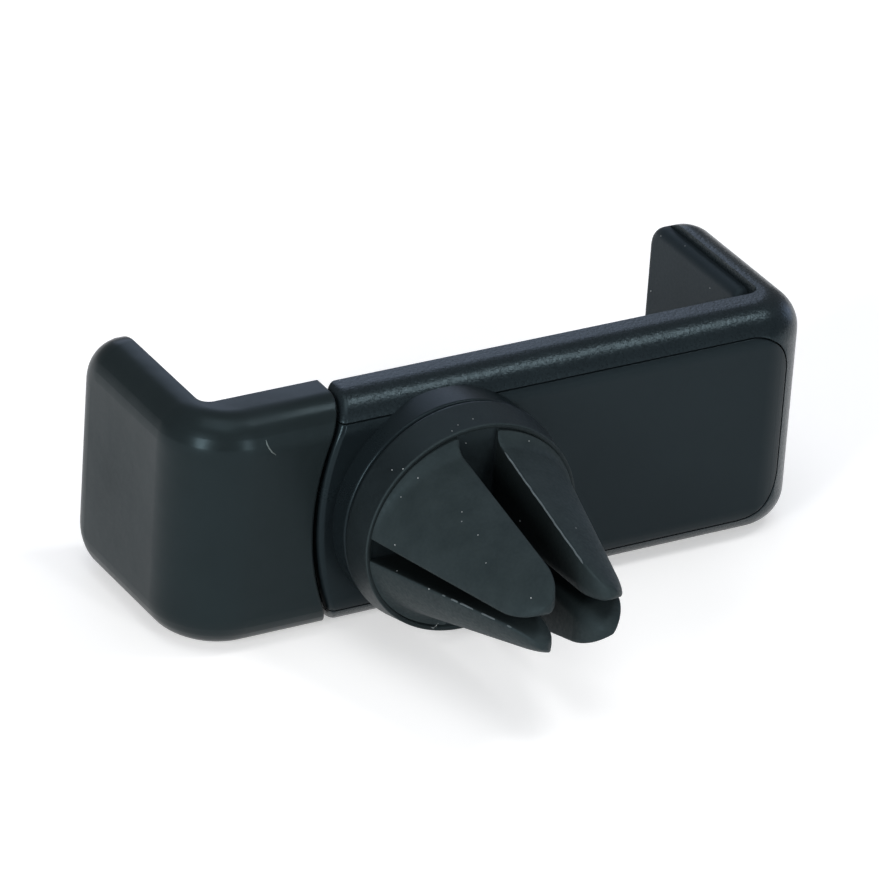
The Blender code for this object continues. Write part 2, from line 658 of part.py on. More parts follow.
def build_screw(name, centre, shank, head, head_height, length, head_y, out, model, guides, material):
    """Pan head screw with a cross recess; out is the sign of Y that the head faces."""
    x, z = centre
    bm = bmesh.new()
    under = head_y - out * head_height
    tip = under - out * length
    shoulder = (under + head_y) / 2
    cylinder(bm, head / 2, min(under, head_y), max(under, head_y), centre, steps=SMALL_STEPS)
    top = [e for e in bm.edges if all(abs(v.co.y - head_y) < 1e-7 for v in e.verts)]
    bevel(bm, top, head_height / 3, 2)
    screw = add_object(name, bm, model, material, (x, head_y, z))

    stem = bmesh.new()
    cylinder(stem, shank / 2, min(tip, shoulder), max(tip, shoulder), centre, steps=PIN_STEPS)
    combine(screw, add_guide("join_stem_" + name, stem, guides), "UNION")

    for turn, (wide, thin) in enumerate(((DRIVE_WIDTH, DRIVE_SLOT), (DRIVE_SLOT, DRIVE_WIDTH))):
        slot = bmesh.new()
        floor = head_y - out * DRIVE_DEPTH
        above = head_y + out * SHORT_OVERRUN
        box(slot, (x - wide / 2, min(floor, above), z - thin / 2), (x + wide / 2, max(floor, above), z + thin / 2))
        combine(screw, add_guide("cut_drive_{}_{}".format(turn + 1, name), slot, guides))
    return screw


def turned(profile, steps=ROUND_STEPS):
    """Revolve a closed profile of radius and Y about the swivel axis."""
    bm = bmesh.new()
    ring = [bm.verts.new((radius, y, 0.0)) for radius, y in profile]
    pairs = zip(ring, ring[1:] + ring[:1])
    edges = [bm.edges.new(pair) for pair in pairs if pair[0].co.x + pair[1].co.x > 0.0]
    bmesh.ops.spin(bm, geom=ring + edges, cent=(0, 0, 0), axis=(0, 1, 0), angle=2 * math.pi, steps=steps,
                   use_merge=True, use_normal_flip=False)
    bmesh.ops.remove_doubles(bm, verts=bm.verts, dist=1e-7)
    return bm


def build_washer(name, inner, outer, start, thickness, model, material):
    """Flat washer on the swivel axis, lying towards -Y from its start."""
    profile = [(inner, start), (outer, start), (outer, start - thickness), (inner, start - thickness)]
    return add_object(name, turned(profile, 32), model, material)


def build_clip_core(model, guides, material):
    """Rigid hub inside the rubber clip that turns on the spigot."""
    bore = SPIGOT_RADIUS + FIT
    profile = [(bore, HUB_BACK_Y), (CORE_HUB_RADIUS, HUB_BACK_Y), (CORE_HUB_RADIUS, FLANGE_Y),
               (CORE_FLANGE_RADIUS, FLANGE_Y), (CORE_FLANGE_RADIUS, CORE_FRONT_Y),
               (WASHER_RADIUS + FIT, CORE_FRONT_Y), (WASHER_RADIUS + FIT, CORE_FLOOR_Y), (bore, CORE_FLOOR_Y)]
    core = add_object("clip_core", turned(profile, 40), model, material)
    lugs = bmesh.new()
    core_lugs(lugs, 0.0)
    combine(core, add_guide("join_core_lugs", lugs, guides), "UNION")
    return core


def core_lugs(bm, grow):
    """Lugs that key the core into the rubber, or the room for them."""
    half = CORE_LUG_WIDTH / 2 + grow
    back = FLANGE_Y - CORE_LUG_STEP + grow
    front = CORE_FRONT_Y + CORE_LUG_STEP - grow
    for index in range(CORE_LUGS):
        lug = bmesh.new()
        box(lug, (CORE_HUB_RADIUS, front, -half), (CORE_LUG_REACH + grow, back, half))
        lug.transform(Matrix.Rotation(math.radians(45.0) + 2 * math.pi * index / CORE_LUGS, 4, "Y"))
        piece = bpy.data.meshes.new("lug")
        lug.to_mesh(piece)
        lug.free()
        bm.from_mesh(piece)
        bpy.data.meshes.remove(piece)


def between(first, second, share):
    """Value at a share of the way from the first to the second."""
    return first + (second - first) * share


def prong_section(share):
    """Outline in X and Z of the prong at +X and +Z, at a share of the length from rim to tip."""
    half_x = between(PRONG_ROOT_X, PRONG_TIP_X, share)
    half_z = between(PRONG_ROOT_Z, PRONG_TIP_Z, share)
    left = between(WIDE_SLOT_ROOT, WIDE_SLOT_TIP, share) / 2
    low = between(NARROW_SLOT_ROOT, NARROW_SLOT_TIP, share) / 2
    edge = PRONG_EDGE
    start = math.asin((low + edge) / half_z)
    stop = math.acos((left + edge) / half_x)
    points = [(left, low + edge), (left + edge, low)]
    points.append((half_x * math.cos(start) - edge, low))
    for step in range(PRONG_STEPS + 1):
        angle = start + (stop - start) * step / PRONG_STEPS
        points.append((half_x * math.cos(angle), half_z * math.sin(angle)))
    points.append((left, half_z * math.sin(stop) - edge))
    return points


def prong_loft(sign_x, sign_z):
    """Prong that narrows from the web to a tip that is round seen square to its outer face."""
    bm = bmesh.new()
    tip_section = prong_section(1.0)
    corner_low = Vector(tip_section[3])
    corner_high = Vector(tip_section[-2])
    along = (corner_high - corner_low).normalized()
    middle = (corner_high + corner_low).dot(along) / 2
    straight = PRONG_LENGTH - PRONG_TIP_RADIUS
    levels = [(-RIM_STEP - CLIP_WEB / 2, 1.0), (straight / 2, 1.0), (straight, 1.0)]
    for step in range(1, PRONG_TIP_STEPS):
        angle = math.pi / 2 * step / PRONG_TIP_STEPS
        levels.append((straight + PRONG_TIP_RADIUS * math.sin(angle), math.cos(angle)))
    levels.append((PRONG_LENGTH, math.cos(math.pi / 2 * PRONG_TIP_LAST)))
    rings = []
    for distance, width in levels:
        ring = []
        for point in prong_section(distance / PRONG_LENGTH):
            spot = Vector(point)
            offset = spot.dot(along) - middle
            spot -= along * offset * (1.0 - width)
            lean = PRONG_LEAN * distance / PRONG_LENGTH
            ring.append(bm.verts.new((sign_x * spot.x, RIM_Y - distance, sign_z * spot.y + lean)))
        rings.append(ring)
    for lower, upper in zip(rings, rings[1:]):
        for step in range(len(lower)):
            following = (step + 1) % len(lower)
            bm.faces.new((lower[step], lower[following], upper[following], upper[step]))
    bm.faces.new(rings[0])
    bm.faces.new(list(reversed(rings[-1])))
    return bm


def build_clip_head(model, guides, material):
    """Rubber head with four prongs parted by a wide and a narrow slot."""
    edge = CLIP_EDGE
    inner = CORE_HUB_RADIUS + FIT
    pocket = CORE_FLANGE_RADIUS + FIT
    profile = [(inner, CLIP_BACK_Y), (CLIP_RADIUS - edge, CLIP_BACK_Y), (CLIP_RADIUS, CLIP_BACK_Y - edge),
               (RIM_RADIUS, RIM_Y + edge / 2), (RIM_RADIUS - edge / 2, RIM_Y),
               (RIM_RADIUS - RIM_WALL, RIM_Y), (RIM_RADIUS - RIM_WALL - RIM_STEP / 2, HUB_FRONT_Y),
               (0.0, HUB_FRONT_Y), (0.0, HEAD_ROOM_Y), (pocket, HEAD_ROOM_Y), (pocket, LIP_Y), (inner, LIP_Y)]
    blank = turned(profile)
    for vert in blank.verts:
        if vert.co.xz.length > pocket + edge:
            share = (CLIP_BACK_Y - vert.co.y) / (CLIP_BACK_Y - RIM_Y)
            vert.co.z *= between(1.0, RIM_SQUASH, share)
    head = add_object("clip_head", blank, model, material)

    for number, (sign_x, sign_z) in enumerate(((-1, 1), (-1, -1), (1, 1), (1, -1)), start=1):
        prong = add_guide("join_prong_{}".format(number), prong_loft(sign_x, sign_z), guides)
        combine(head, prong, "UNION")

    room = bmesh.new()
    core_lugs(room, FIT)
    combine(head, add_guide("cut_lug_room", room, guides))
    return head


def main():
    """Build the holder with its jaws closed."""
    clear_scene()
    model = make_collection(COLLECTION_NAME)
    guides = make_collection(GUIDE_COLLECTION_NAME)
    plastic = make_material("black_abs", (0.022, 0.025, 0.028), 0.42)
    cover_plastic = make_material("black_abs_cover", (0.018, 0.021, 0.024), 0.48)
    rubber = make_material("black_tpe", (0.020, 0.022, 0.023), 0.68)
    nylon = make_material("dark_nylon", (0.030, 0.031, 0.033), 0.50)
    steel = make_material("plated_steel", (0.55, 0.56, 0.57), 0.32, 1.0)

    build_body_frame(model, guides, plastic)
    build_back_cover(model, guides, cover_plastic)
    build_sliding_jaw(model, guides, plastic)

    pad_back = RECESS_FLOOR_Y + FIT
    build_pad("front_pad", front_pad_outline(), "Y", pad_back, 0.0, PAD_EDGE, model, rubber)
    build_pad("slide_front_pad", slide_pad_outline(), "Y", SLIDE_FRONT_Y - SLIDE_PAD_RECESS + FIT, 0.0,
              PAD_EDGE, model, rubber)
    fixed_inner = FIXED_REACH - JAW_THICKNESS
    build_pad("fixed_jaw_pad", jaw_pad_outline(), "X", fixed_inner + JAW_PAD_RECESS - FIT,
              fixed_inner - JAW_PAD_RISE, JAW_PAD_EDGE, model, rubber)
    sliding_inner = -SLIDING_REACH + JAW_THICKNESS
    build_pad("sliding_jaw_pad", jaw_pad_outline(), "X", sliding_inner - JAW_PAD_RECESS + FIT,
              sliding_inner + JAW_PAD_RISE, JAW_PAD_EDGE, model, rubber)

    build_spring("spring_upper", SPRING_OFFSET, model, steel)
    build_spring("spring_lower", -SPRING_OFFSET, model, steel)
    build_pin("slide_pin", SLIDE_PIN_X, -TONGUE_HALF + PIN_END_COVER + FIT, TONGUE_HALF - PIN_END_COVER,
              model, steel)
    pin_reach = CHANNEL_HALF + FRAME_PIN_SEAT - FIT
    build_pin("frame_pin", FRAME_PIN_X, -pin_reach, pin_reach, model, steel)

    for number, place in enumerate(screw_places(), start=1):
        build_screw("cover_screw_{}".format(number), place, SCREW_SHANK, SCREW_HEAD, SCREW_HEAD_HEIGHT,
                    SCREW_LENGTH, SCREW_HEAD_Y, 1, model, guides, steel)

    build_clip_core(model, guides, nylon)
    build_washer("friction_washer", SPIGOT_RADIUS + FIT, WASHER_RADIUS, FRICTION_WASHER_Y,
                 FRICTION_WASHER_THICKNESS, model, nylon)
    build_washer("pivot_washer", PIVOT_SHANK / 2 + FIT, WASHER_RADIUS, PIVOT_WASHER_Y,
                 PIVOT_WASHER_THICKNESS, model, steel)
    build_screw("pivot_screw", (0.0, 0.0), PIVOT_SHANK, PIVOT_HEAD, PIVOT_HEAD_HEIGHT, PIVOT_SCREW_LENGTH,
                PIVOT_HEAD_Y - PIVOT_HEAD_HEIGHT, -1, model, guides, steel)
    build_clip_head(model, guides, rubber)


if __name__ == "__main__":
    main()
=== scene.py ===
"""Air vent phone holder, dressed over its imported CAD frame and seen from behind.

Metres, +Z up. X runs along the strip towards the fixed jaw, +Y points at the phone and the
clip points along -Y. The origin is on the clip's swivel axis, in the plane the phone lies on.
"""

import logging
import math
import random
from dataclasses import dataclass
from enum import Enum
from typing import Callable, Optional, Sequence

import bmesh
import bpy
from mathutils import Matrix, Vector, noise
from mathutils.bvhtree import BVHTree

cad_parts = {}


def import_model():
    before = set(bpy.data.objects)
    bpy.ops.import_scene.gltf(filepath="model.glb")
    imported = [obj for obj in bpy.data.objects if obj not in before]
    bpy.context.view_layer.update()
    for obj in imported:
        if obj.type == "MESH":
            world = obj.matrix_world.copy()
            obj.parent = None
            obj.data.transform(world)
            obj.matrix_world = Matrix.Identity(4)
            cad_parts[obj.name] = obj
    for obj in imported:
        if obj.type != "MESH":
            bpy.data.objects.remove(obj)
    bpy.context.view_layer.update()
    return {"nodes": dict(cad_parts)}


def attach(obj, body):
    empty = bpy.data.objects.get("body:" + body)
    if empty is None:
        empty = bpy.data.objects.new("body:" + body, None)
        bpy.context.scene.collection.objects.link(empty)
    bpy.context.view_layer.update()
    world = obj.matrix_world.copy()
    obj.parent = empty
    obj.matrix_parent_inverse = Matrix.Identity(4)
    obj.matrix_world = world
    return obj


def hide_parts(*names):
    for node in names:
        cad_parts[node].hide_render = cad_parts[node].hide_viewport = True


LOG = logging.getLogger("vent_holder")

MM = 0.001
FRAME_PIXELS = 880
SHARP_ANGLE = math.radians(38.0)

# Pixels of the frame, from the left and from the top, where small things show
CLIP_DUST = ((403, 469), (392, 470), (466, 443), (437, 411), (458, 425), (473, 419), (529, 441), (397, 571),
             (429, 589), (452, 431), (576, 528), (520, 521), (418, 478), (531, 598), (401, 497), (486, 563),
             (462, 512), (478, 535), (395, 545))
CLIP_LINT = ((431, 627), (433, 628), (436, 626), (438, 623))
PAD_DUST = ((661, 236), (685, 246), (651, 291), (710, 288))
# Pixels of a thin bright line on the jaw's fillet, drawn as a painted highlight
JAW_HIGHLIGHT_LINE = ((266, 440), (267, 444), (269, 448), (272, 452), (276, 455))

Outline = list[tuple[float, float]]


class Axis(Enum):
    """Direction that an outline is extruded along."""

    X = "X"
    Y = "Y"
    Z = "Z"


class Side(Enum):
    """Which way a shell's jaw stands from the middle of the holder."""

    FIXED = 1
    SLIDING = -1


class Cut(Enum):
    """How one solid changes another."""

    TAKE = "DIFFERENCE"
    JOIN = "UNION"
    KEEP = "INTERSECT"


# Mesh tools


def new_mesh_object(name: str, bm: bmesh.types.BMesh) -> bpy.types.Object:
    """Turn a bmesh into an object at the origin.

    Args:
        name: Name of the object and its mesh.
        bm: The mesh, which is freed.

    Returns:
        The new object, linked to the scene.
    """
    bmesh.ops.recalc_face_normals(bm, faces=bm.faces)
    mesh = bpy.data.meshes.new(name)
    bm.to_mesh(mesh)
    bm.free()
    piece = bpy.data.objects.new(name, mesh)
    bpy.context.scene.collection.objects.link(piece)
    return piece


def settle(piece: bpy.types.Object) -> None:
    """Apply a piece's modifiers, so that its mesh is what shows.

    Args:
        piece: The object whose modifiers are applied.
    """
    graph = bpy.context.evaluated_depsgraph_get()
    graph.update()
    mesh = bpy.data.meshes.new_from_object(piece.evaluated_get(graph), depsgraph=graph)
    rough = piece.data
    piece.modifiers.clear()
    piece.data = mesh
    bpy.data.meshes.remove(rough)
    mesh.name = piece.name


def carve(piece: bpy.types.Object, tool: bmesh.types.BMesh, cut: Cut) -> None:
    """Cut a piece with a solid, or join the solid to it.

    Args:
        piece: The object that changes.
        tool: The solid, which is used up.
        cut: What the solid does.
    """
    cutter = new_mesh_object("cutter", tool)
    modifier = piece.modifiers.new("carve", "BOOLEAN")
    modifier.operation = cut.value
    modifier.solver = "EXACT"
    modifier.object = cutter
    settle(piece)
    spent = cutter.data
    bpy.data.objects.remove(cutter)
    bpy.data.meshes.remove(spent)


def smooth(piece: bpy.types.Object) -> None:
    """Shade a piece smooth, with flat faces kept flat beside their rounded edges.

    Args:
        piece: The object to shade.
    """
    piece.data.shade_smooth()
    piece.data.set_sharp_from_angle(angle=SHARP_ANGLE)
    modifier = piece.modifiers.new("flat faces", "WEIGHTED_NORMAL")
    modifier.keep_sharp = True
    modifier.weight = 80
    settle(piece)


def bevel(bm: bmesh.types.BMesh, edges: Sequence[bmesh.types.BMEdge], radius: float, steps: int,
          clamp: bool = True) -> None:
    """Round a set of edges.

    Args:
        bm: The mesh.
        edges: The edges to round.
        radius: Radius of the rounding, in metres.
        steps: Number of faces across it.
        clamp: Whether the radius may shrink where faces are narrow.
    """
    bmesh.ops.bevel(bm, geom=list(edges), offset=radius, offset_type="OFFSET", affect="EDGES",
                    segments=steps, profile=0.5, material=-1, clamp_overlap=clamp)


def round_rim(piece: bpy.types.Object, chosen: Callable[[bmesh.types.BMEdge], bool], radius: float,
              steps: int = 2) -> None:
    """Round the sharp edges of a finished solid that a test picks.

    Args:
        piece: The object to change.
        chosen: Test that is true for an edge to round.
        radius: Radius of the rounding, in metres.
        steps: Number of faces across it.
    """
    bm = bmesh.new()
    bm.from_mesh(piece.data)
    bmesh.ops.remove_doubles(bm, verts=bm.verts, dist=1e-7)
    bmesh.ops.dissolve_limit(bm, angle_limit=math.radians(0.2), verts=bm.verts, edges=bm.edges)
    sharp = [e for e in bm.edges if len(e.link_faces) == 2 and e.calc_face_angle() > math.radians(50.0)]
    bevel(bm, [e for e in sharp if chosen(e)], radius, steps, clamp=False)
    bmesh.ops.dissolve_degenerate(bm, dist=1e-7, edges=bm.edges)
    bm.to_mesh(piece.data)
    bm.free()


def arc(centre: tuple[float, float], radius: float, start: float, end: float, steps: int) -> Outline:
    """Points of an arc.

    Args:
        centre: Its middle.
        radius: Its radius.
        start: Angle of the first point, in degrees.
        end: Angle of the last point, in degrees.
        steps: Number of chords.

    Returns:
        The points in order.
    """
    angles = [math.radians(start + (end - start) * step / steps) for step in range(steps + 1)]
    return [(centre[0] + radius * math.cos(a), centre[1] + radius * math.sin(a)) for a in angles]


def prism(bm: bmesh.types.BMesh, outline: Outline, axis: Axis, start: float, end: float) -> None:
    """Extrude a flat outline between two planes across an axis.

    Args:
        bm: The mesh that gets the solid.
        outline: Corners in the two other axes.
        axis: Direction of the extrusion.
        start: Plane of the first cap.
        end: Plane of the second cap.
    """
    def place(u: float, v: float) -> tuple[float, float, float]:
        """Point of the first cap."""
        return {Axis.X: (start, u, v), Axis.Y: (u, start, v), Axis.Z: (u, v, start)}[axis]

    cap = bm.faces.new([bm.verts.new(place(u, v)) for u, v in outline])
    shift = Vector({Axis.X: (1, 0, 0), Axis.Y: (0, 1, 0), Axis.Z: (0, 0, 1)}[axis]) * (end - start)
    lifted = bmesh.ops.extrude_face_region(bm, geom=[cap], use_keep_orig=True)
    tops = [item for item in lifted["geom"] if isinstance(item, bmesh.types.BMVert)]
    bmesh.ops.translate(bm, verts=tops, vec=shift)


def block(low: Sequence[float], high: Sequence[float]) -> bmesh.types.BMesh:
    """Box between two corners.

    Args:
        low: Lowest corner.
        high: Highest corner.

    Returns:
        A mesh that holds the box.
    """
    bm = bmesh.new()
    low, high = Vector(low), Vector(high)
    place = Matrix.Translation((low + high) / 2) @ Matrix.Diagonal((*(high - low), 1.0))
    bmesh.ops.create_cube(bm, size=1.0, matrix=place)
    return bm


def turned(profile: Outline, steps: int) -> bmesh.types.BMesh:
    """Turn a closed profile of radius and Y about the swivel axis.

    Args:
        profile: Corners of the section.
        steps: Number of faces round the axis.

    Returns:
        A closed mesh.
    """
    bm = bmesh.new()
    ring = [bm.verts.new((radius, y, 0.0)) for radius, y in profile]
    pairs = zip(ring, ring[1:] + ring[:1])
    edges = [bm.edges.new(pair) for pair in pairs if pair[0].co.x + pair[1].co.x > 0.0]
    bmesh.ops.spin(bm, geom=ring + edges, cent=(0, 0, 0), axis=(0, 1, 0), angle=2 * math.pi,
                   steps=steps, use_merge=True, use_normal_flip=False)
    bmesh.ops.remove_doubles(bm, verts=bm.verts, dist=1e-7)
    return bm


def rounded(points: Outline, radii: Sequence[float], steps: int) -> Outline:
    """Replace the corners of an outline by small curves.

    Args:
        points: Corners of a closed outline.
        radii: Setback of each corner's curve, or 0 to keep it sharp.
        steps: Number of chords in a curve.

    Returns:
        The rounded outline.
    """
    made: Outline = []
    for index, (point, radius) in enumerate(zip(points, radii)):
        if radius == 0.0:
            made.append(point)
            continue
        corner = Vector(point)
        before = corner + (Vector(points[index - 1]) - corner).normalized() * radius
        after = corner + (Vector(points[(index + 1) % len(points)]) - corner).normalized() * radius
        for step in range(steps + 1):
            t = step / steps
            made.append(tuple(before * (1 - t) ** 2 + corner * 2 * t * (1 - t) + after * t ** 2))
    return made


def between(low: float, high: float, share: float) -> float:
    """Value at a share of the way from low to high."""
    return low + (high - low) * share


# Finishes


def linear(colour: str) -> tuple[float, float, float, float]:
    """Linear colour of an sRGB hex value.

    Args:
        colour: Six hex digits, with a leading hash.

    Returns:
        Red, green, blue and an alpha of 1.
    """
    parts = [int(colour[i:i + 2], 16) / 255 for i in (1, 3, 5)]
    red, green, blue = [c / 12.92 if c <= 0.04045 else ((c + 0.055) / 1.055) ** 2.4 for c in parts]
    return red, green, blue, 1.0


def add_node(tree: bpy.types.NodeTree, kind: str, settings: Optional[dict] = None,
             links: Optional[dict] = None) -> bpy.types.Node:
    """Add a shader node with its settings and links.

    Args:
        tree: Tree that gets the node.
        kind: Type of the node.
        settings: Values by the name of a property, or by the name or number of an input.
        links: Outputs that feed the node, by the name or number of the input.

    Returns:
        The node.
    """
    node = tree.nodes.new(kind)
    for name, value in (settings or {}).items():
        if isinstance(name, str) and hasattr(node, name):
            setattr(node, name, value)
        else:
            node.inputs[name].default_value = value
    for name, source in (links or {}).items():
        tree.links.new(source, node.inputs[name])
    return node


@dataclass(frozen=True)
class MouldedPolymer:
    """Black moulded plastic or rubber: two close tones, fine mould grain and uneven gloss."""

    name: str
    dark: str
    light: str
    ior: float
    specular: float
    roughness: tuple[float, float]
    grain: float
    grain_depth: float
    wave: float
    wave_depth: float
    dust: float = 0.0
    sheen_colour: str = "#c4e6f3"
    polish: tuple[tuple[tuple[float, float, float], float, float], ...] = ()
    shade_fade: Optional[tuple[str, float, float]] = None

    def build(self) -> bpy.types.Material:
        """Make the material.

        Returns:
            A Principled material that reads Object coordinates.
        """
        material = bpy.data.materials.new(self.name)
        material.use_nodes = True
        tree = material.node_tree
        shader = tree.nodes["Principled BSDF"]
        shader.inputs["IOR"].default_value = self.ior
        shader.inputs["Specular IOR Level"].default_value = self.specular
        shader.inputs["Specular Tint"].default_value = linear(self.sheen_colour)
        place = add_node(tree, "ShaderNodeTexCoord").outputs["Object"]
        grain = add_node(tree, "ShaderNodeTexNoise", {"Scale": 1 / self.grain, "Detail": 2.0, "Roughness": 0.55},
                         {"Vector": place})
        wave = add_node(tree, "ShaderNodeTexNoise", {"Scale": 1 / self.wave, "Detail": 2.0, "Roughness": 0.5},
                        {"Vector": place})
        tone = add_node(tree, "ShaderNodeMix", {"data_type": "RGBA"}, {"Factor": wave.outputs["Fac"]})
        tone.inputs[6].default_value = linear(self.dark)
        tone.inputs[7].default_value = linear(self.light)
        colour = tone.outputs[2]
        gloss = add_node(tree, "ShaderNodeMapRange",
                         {"From Min": 0.3, "From Max": 0.7, "To Min": self.roughness[0], "To Max": self.roughness[1]},
                         {"Value": grain.outputs["Fac"]})
        roughness = gloss.outputs["Result"]
        for spot, reach, share in self.polish:
            roughness = self.polished(tree, place, roughness, spot, reach, share)
        # The slots' painted shade fades lighter towards the prongs' tips
        if self.shade_fade:
            colour = self.fade_painted_shade(tree, place, colour)
        if self.dust:
            colour = self.dusted(tree, place, colour)
        broad = add_node(tree, "ShaderNodeBump", {"Strength": 1.0, "Distance": self.wave_depth},
                         {"Height": wave.outputs["Fac"]})
        fine = add_node(tree, "ShaderNodeBump", {"Strength": 1.0, "Distance": self.grain_depth},
                        {"Height": grain.outputs["Fac"], "Normal": broad.outputs["Normal"]})
        tree.links.new(colour, shader.inputs["Base Color"])
        tree.links.new(roughness, shader.inputs["Roughness"])
        tree.links.new(fine.outputs["Normal"], shader.inputs["Normal"])
        return material

    def fade_painted_shade(self, tree: bpy.types.NodeTree, place: bpy.types.NodeSocket,
                    colour: bpy.types.NodeSocket) -> bpy.types.NodeSocket:
        """Fade a painted shade out towards the prongs' tips, where the slots are no longer in shade.

        Args:
            tree: Tree of the material.
            place: Coordinates of the surface.
            colour: Painted shade colour at the prongs' roots.

        Returns:
            The colour with the painted shade faded out at the tips.
        """
        tone, start, end = self.shade_fade
        axes = add_node(tree, "ShaderNodeSeparateXYZ", {}, {"Vector": place})
        share = add_node(tree, "ShaderNodeMapRange", {"From Min": start * MM, "From Max": end * MM},
                         {"Value": axes.outputs["Y"]})
        mixed = add_node(tree, "ShaderNodeMix", {"data_type": "RGBA"}, {"Factor": share.outputs["Result"], 6: colour})
        mixed.inputs[7].default_value = linear(tone)
        return mixed.outputs[2]

    def polished(self, tree: bpy.types.NodeTree, place: bpy.types.NodeSocket, roughness: bpy.types.NodeSocket,
                 spot: tuple[float, float, float], reach: float, share: float) -> bpy.types.NodeSocket:
        """Make a spot glossier, where the mould was polished more.

        Args:
            tree: Tree of the material.
            place: Coordinates of the surface.
            roughness: Roughness away from the spot.
            spot: Middle of the spot, in millimetres.
            reach: Distance at which it ends, in millimetres.
            share: Share of the roughness that is left in its middle.

        Returns:
            The roughness with the spot.
        """
        away = add_node(tree, "ShaderNodeVectorMath", {"operation": "DISTANCE", 1: [c * MM for c in spot]}, {0: place})
        keep = add_node(tree, "ShaderNodeMapRange", {"From Max": reach * MM, "To Min": share},
                        {"Value": away.outputs["Value"]})
        mixed = add_node(tree, "ShaderNodeMath", {"operation": "MULTIPLY"},
                         {0: roughness, 1: keep.outputs["Result"]})
        return mixed.outputs["Value"]

    def dusted(self, tree: bpy.types.NodeTree, place: bpy.types.NodeSocket,
               colour: bpy.types.NodeSocket) -> bpy.types.NodeSocket:
        """Scatter a few pale dust specks over a colour.

        Args:
            tree: Tree of the material.
            place: Coordinates of the surface.
            colour: Colour without dust.

        Returns:
            The colour with dust.
        """
        cells = add_node(tree, "ShaderNodeTexVoronoi", {"Scale": 1 / (1.1 * MM)}, {"Vector": place})
        near = add_node(tree, "ShaderNodeMapRange", {"From Min": 0.05, "From Max": 0.09, "To Min": 1.0, "To Max": 0.0},
                        {"Value": cells.outputs["Distance"]})
        pick = add_node(tree, "ShaderNodeSeparateColor", {}, {"Color": cells.outputs["Color"]})
        few = add_node(tree, "ShaderNodeMath", {"operation": "LESS_THAN", 1: self.dust},
                       {0: pick.outputs["Red"]})
        share = add_node(tree, "ShaderNodeMath", {"operation": "MULTIPLY"},
                         {0: near.outputs["Result"], 1: few.outputs["Value"]})
        mixed = add_node(tree, "ShaderNodeMix", {"data_type": "RGBA"}, {"Factor": share.outputs["Value"], 6: colour})
        mixed.inputs[7].default_value = linear("#8b8f92")
        return mixed.outputs[2]


@dataclass(frozen=True)
class PlatedSteel:
    """Bright zinc-plated steel of springs, pins and screws: fine drawn lines along the wire."""

    name: str = "zinc_plated_steel"
    dark: str = "#9a9da0"
    light: str = "#c6c8ca"
    roughness: tuple[float, float] = (0.22, 0.38)
    grain: float = 0.12 * MM

    def build(self) -> bpy.types.Material:
        """Make the material.

        Returns:
            A metallic Principled material that reads Object coordinates.
        """
        material = bpy.data.materials.new(self.name)
        material.use_nodes = True
        tree = material.node_tree
        shader = tree.nodes["Principled BSDF"]
        shader.inputs["Metallic"].default_value = 1.0
        place = add_node(tree, "ShaderNodeTexCoord").outputs["Object"]
        grain = add_node(tree, "ShaderNodeTexNoise", {"Scale": 1 / self.grain, "Detail": 3.0}, {"Vector": place})
        tone = add_node(tree, "ShaderNodeMix", {"data_type": "RGBA"}, {"Factor": grain.outputs["Fac"]})
        tone.inputs[6].default_value = linear(self.dark)
        tone.inputs[7].default_value = linear(self.light)
        gloss = add_node(tree, "ShaderNodeMapRange", {"To Min": self.roughness[0], "To Max": self.roughness[1]},
                         {"Value": grain.outputs["Fac"]})
        tree.links.new(tone.outputs[2], shader.inputs["Base Color"])
        tree.links.new(gloss.outputs["Result"], shader.inputs["Roughness"])
        return material


# Grainy black ABS of the strip: spark-eroded mould, so its highlight breaks into fine sparkle
BODY_ABS = MouldedPolymer("grained_abs_body", "#12171a", "#1a2124", 1.53, 0.28, (0.24, 0.34), 0.30 * MM,
                          0.028 * MM, 6.0 * MM, 0.02 * MM)
# Finer ABS of the cover: nearly plain, with a soft even sheen
COVER_ABS = MouldedPolymer("fine_grained_abs_cover", "#12181b", "#171e21", 1.53, 0.17, (0.30, 0.38), 0.20 * MM,
                           0.004 * MM, 9.0 * MM, 0.03 * MM, polish=(((-11.2, -5.5, 7.0), 6.5, 0.5),))
# Satin ABS of the sliding jaw: polished mould, soft uneven blobs in its highlight
JAW_ABS = MouldedPolymer("satin_abs_jaw", "#171d1e", "#1d2426", 1.53, 0.16, (0.28, 0.31), 0.50 * MM,
                         0.0009 * MM, 6.0 * MM, 0.10 * MM,
                         polish=(((-17.6, -3.6, 11.6), 4.2, 1.4), ((-22.4, -4.4, 8.6), 5.0, 1.0),
                                 ((-27.0, 9.0, 0.0), 13.0, 1.6)))
# Soft TPE pad: dull, slightly bluish, a faint skin
PAD_TPE = MouldedPolymer("moulded_tpe_pad", "#151b1f", "#1f262b", 1.50, 0.24, (0.52, 0.60), 0.30 * MM,
                         0.002 * MM, 7.0 * MM, 0.03 * MM, dust=0.02)
# Matt TPE rubber of the prongs' outer faces: powdery, mottled, and it holds lint
PRONG_TPE = MouldedPolymer("powdery_tpe_prongs", "#161c1d", "#262d2e", 1.50, 0.32, (0.56, 0.72), 0.35 * MM,
                           0.008 * MM, 1.8 * MM, 0.03 * MM, dust=0.03)
# The same rubber on the round base, in a darker tone, with a soft satin sheen
BASE_TPE = MouldedPolymer("satin_tpe_base", "#0c1011", "#151a1c", 1.50, 0.40, (0.42, 0.54), 0.35 * MM,
                          0.006 * MM, 2.4 * MM, 0.04 * MM, dust=0.03)
# The same rubber inside the slots, painted deep black: painted shade of the slots' recesses, fading lighter towards
# the tips
SLOT_SHADE_TPE = MouldedPolymer("tpe_slots_painted_shade", "#0b0e0e", "#121616", 1.50, 0.30, (0.50, 0.62), 0.35 * MM,
                          0.006 * MM, 2.4 * MM, 0.03 * MM, shade_fade=("#212829", -22.0, -28.5))
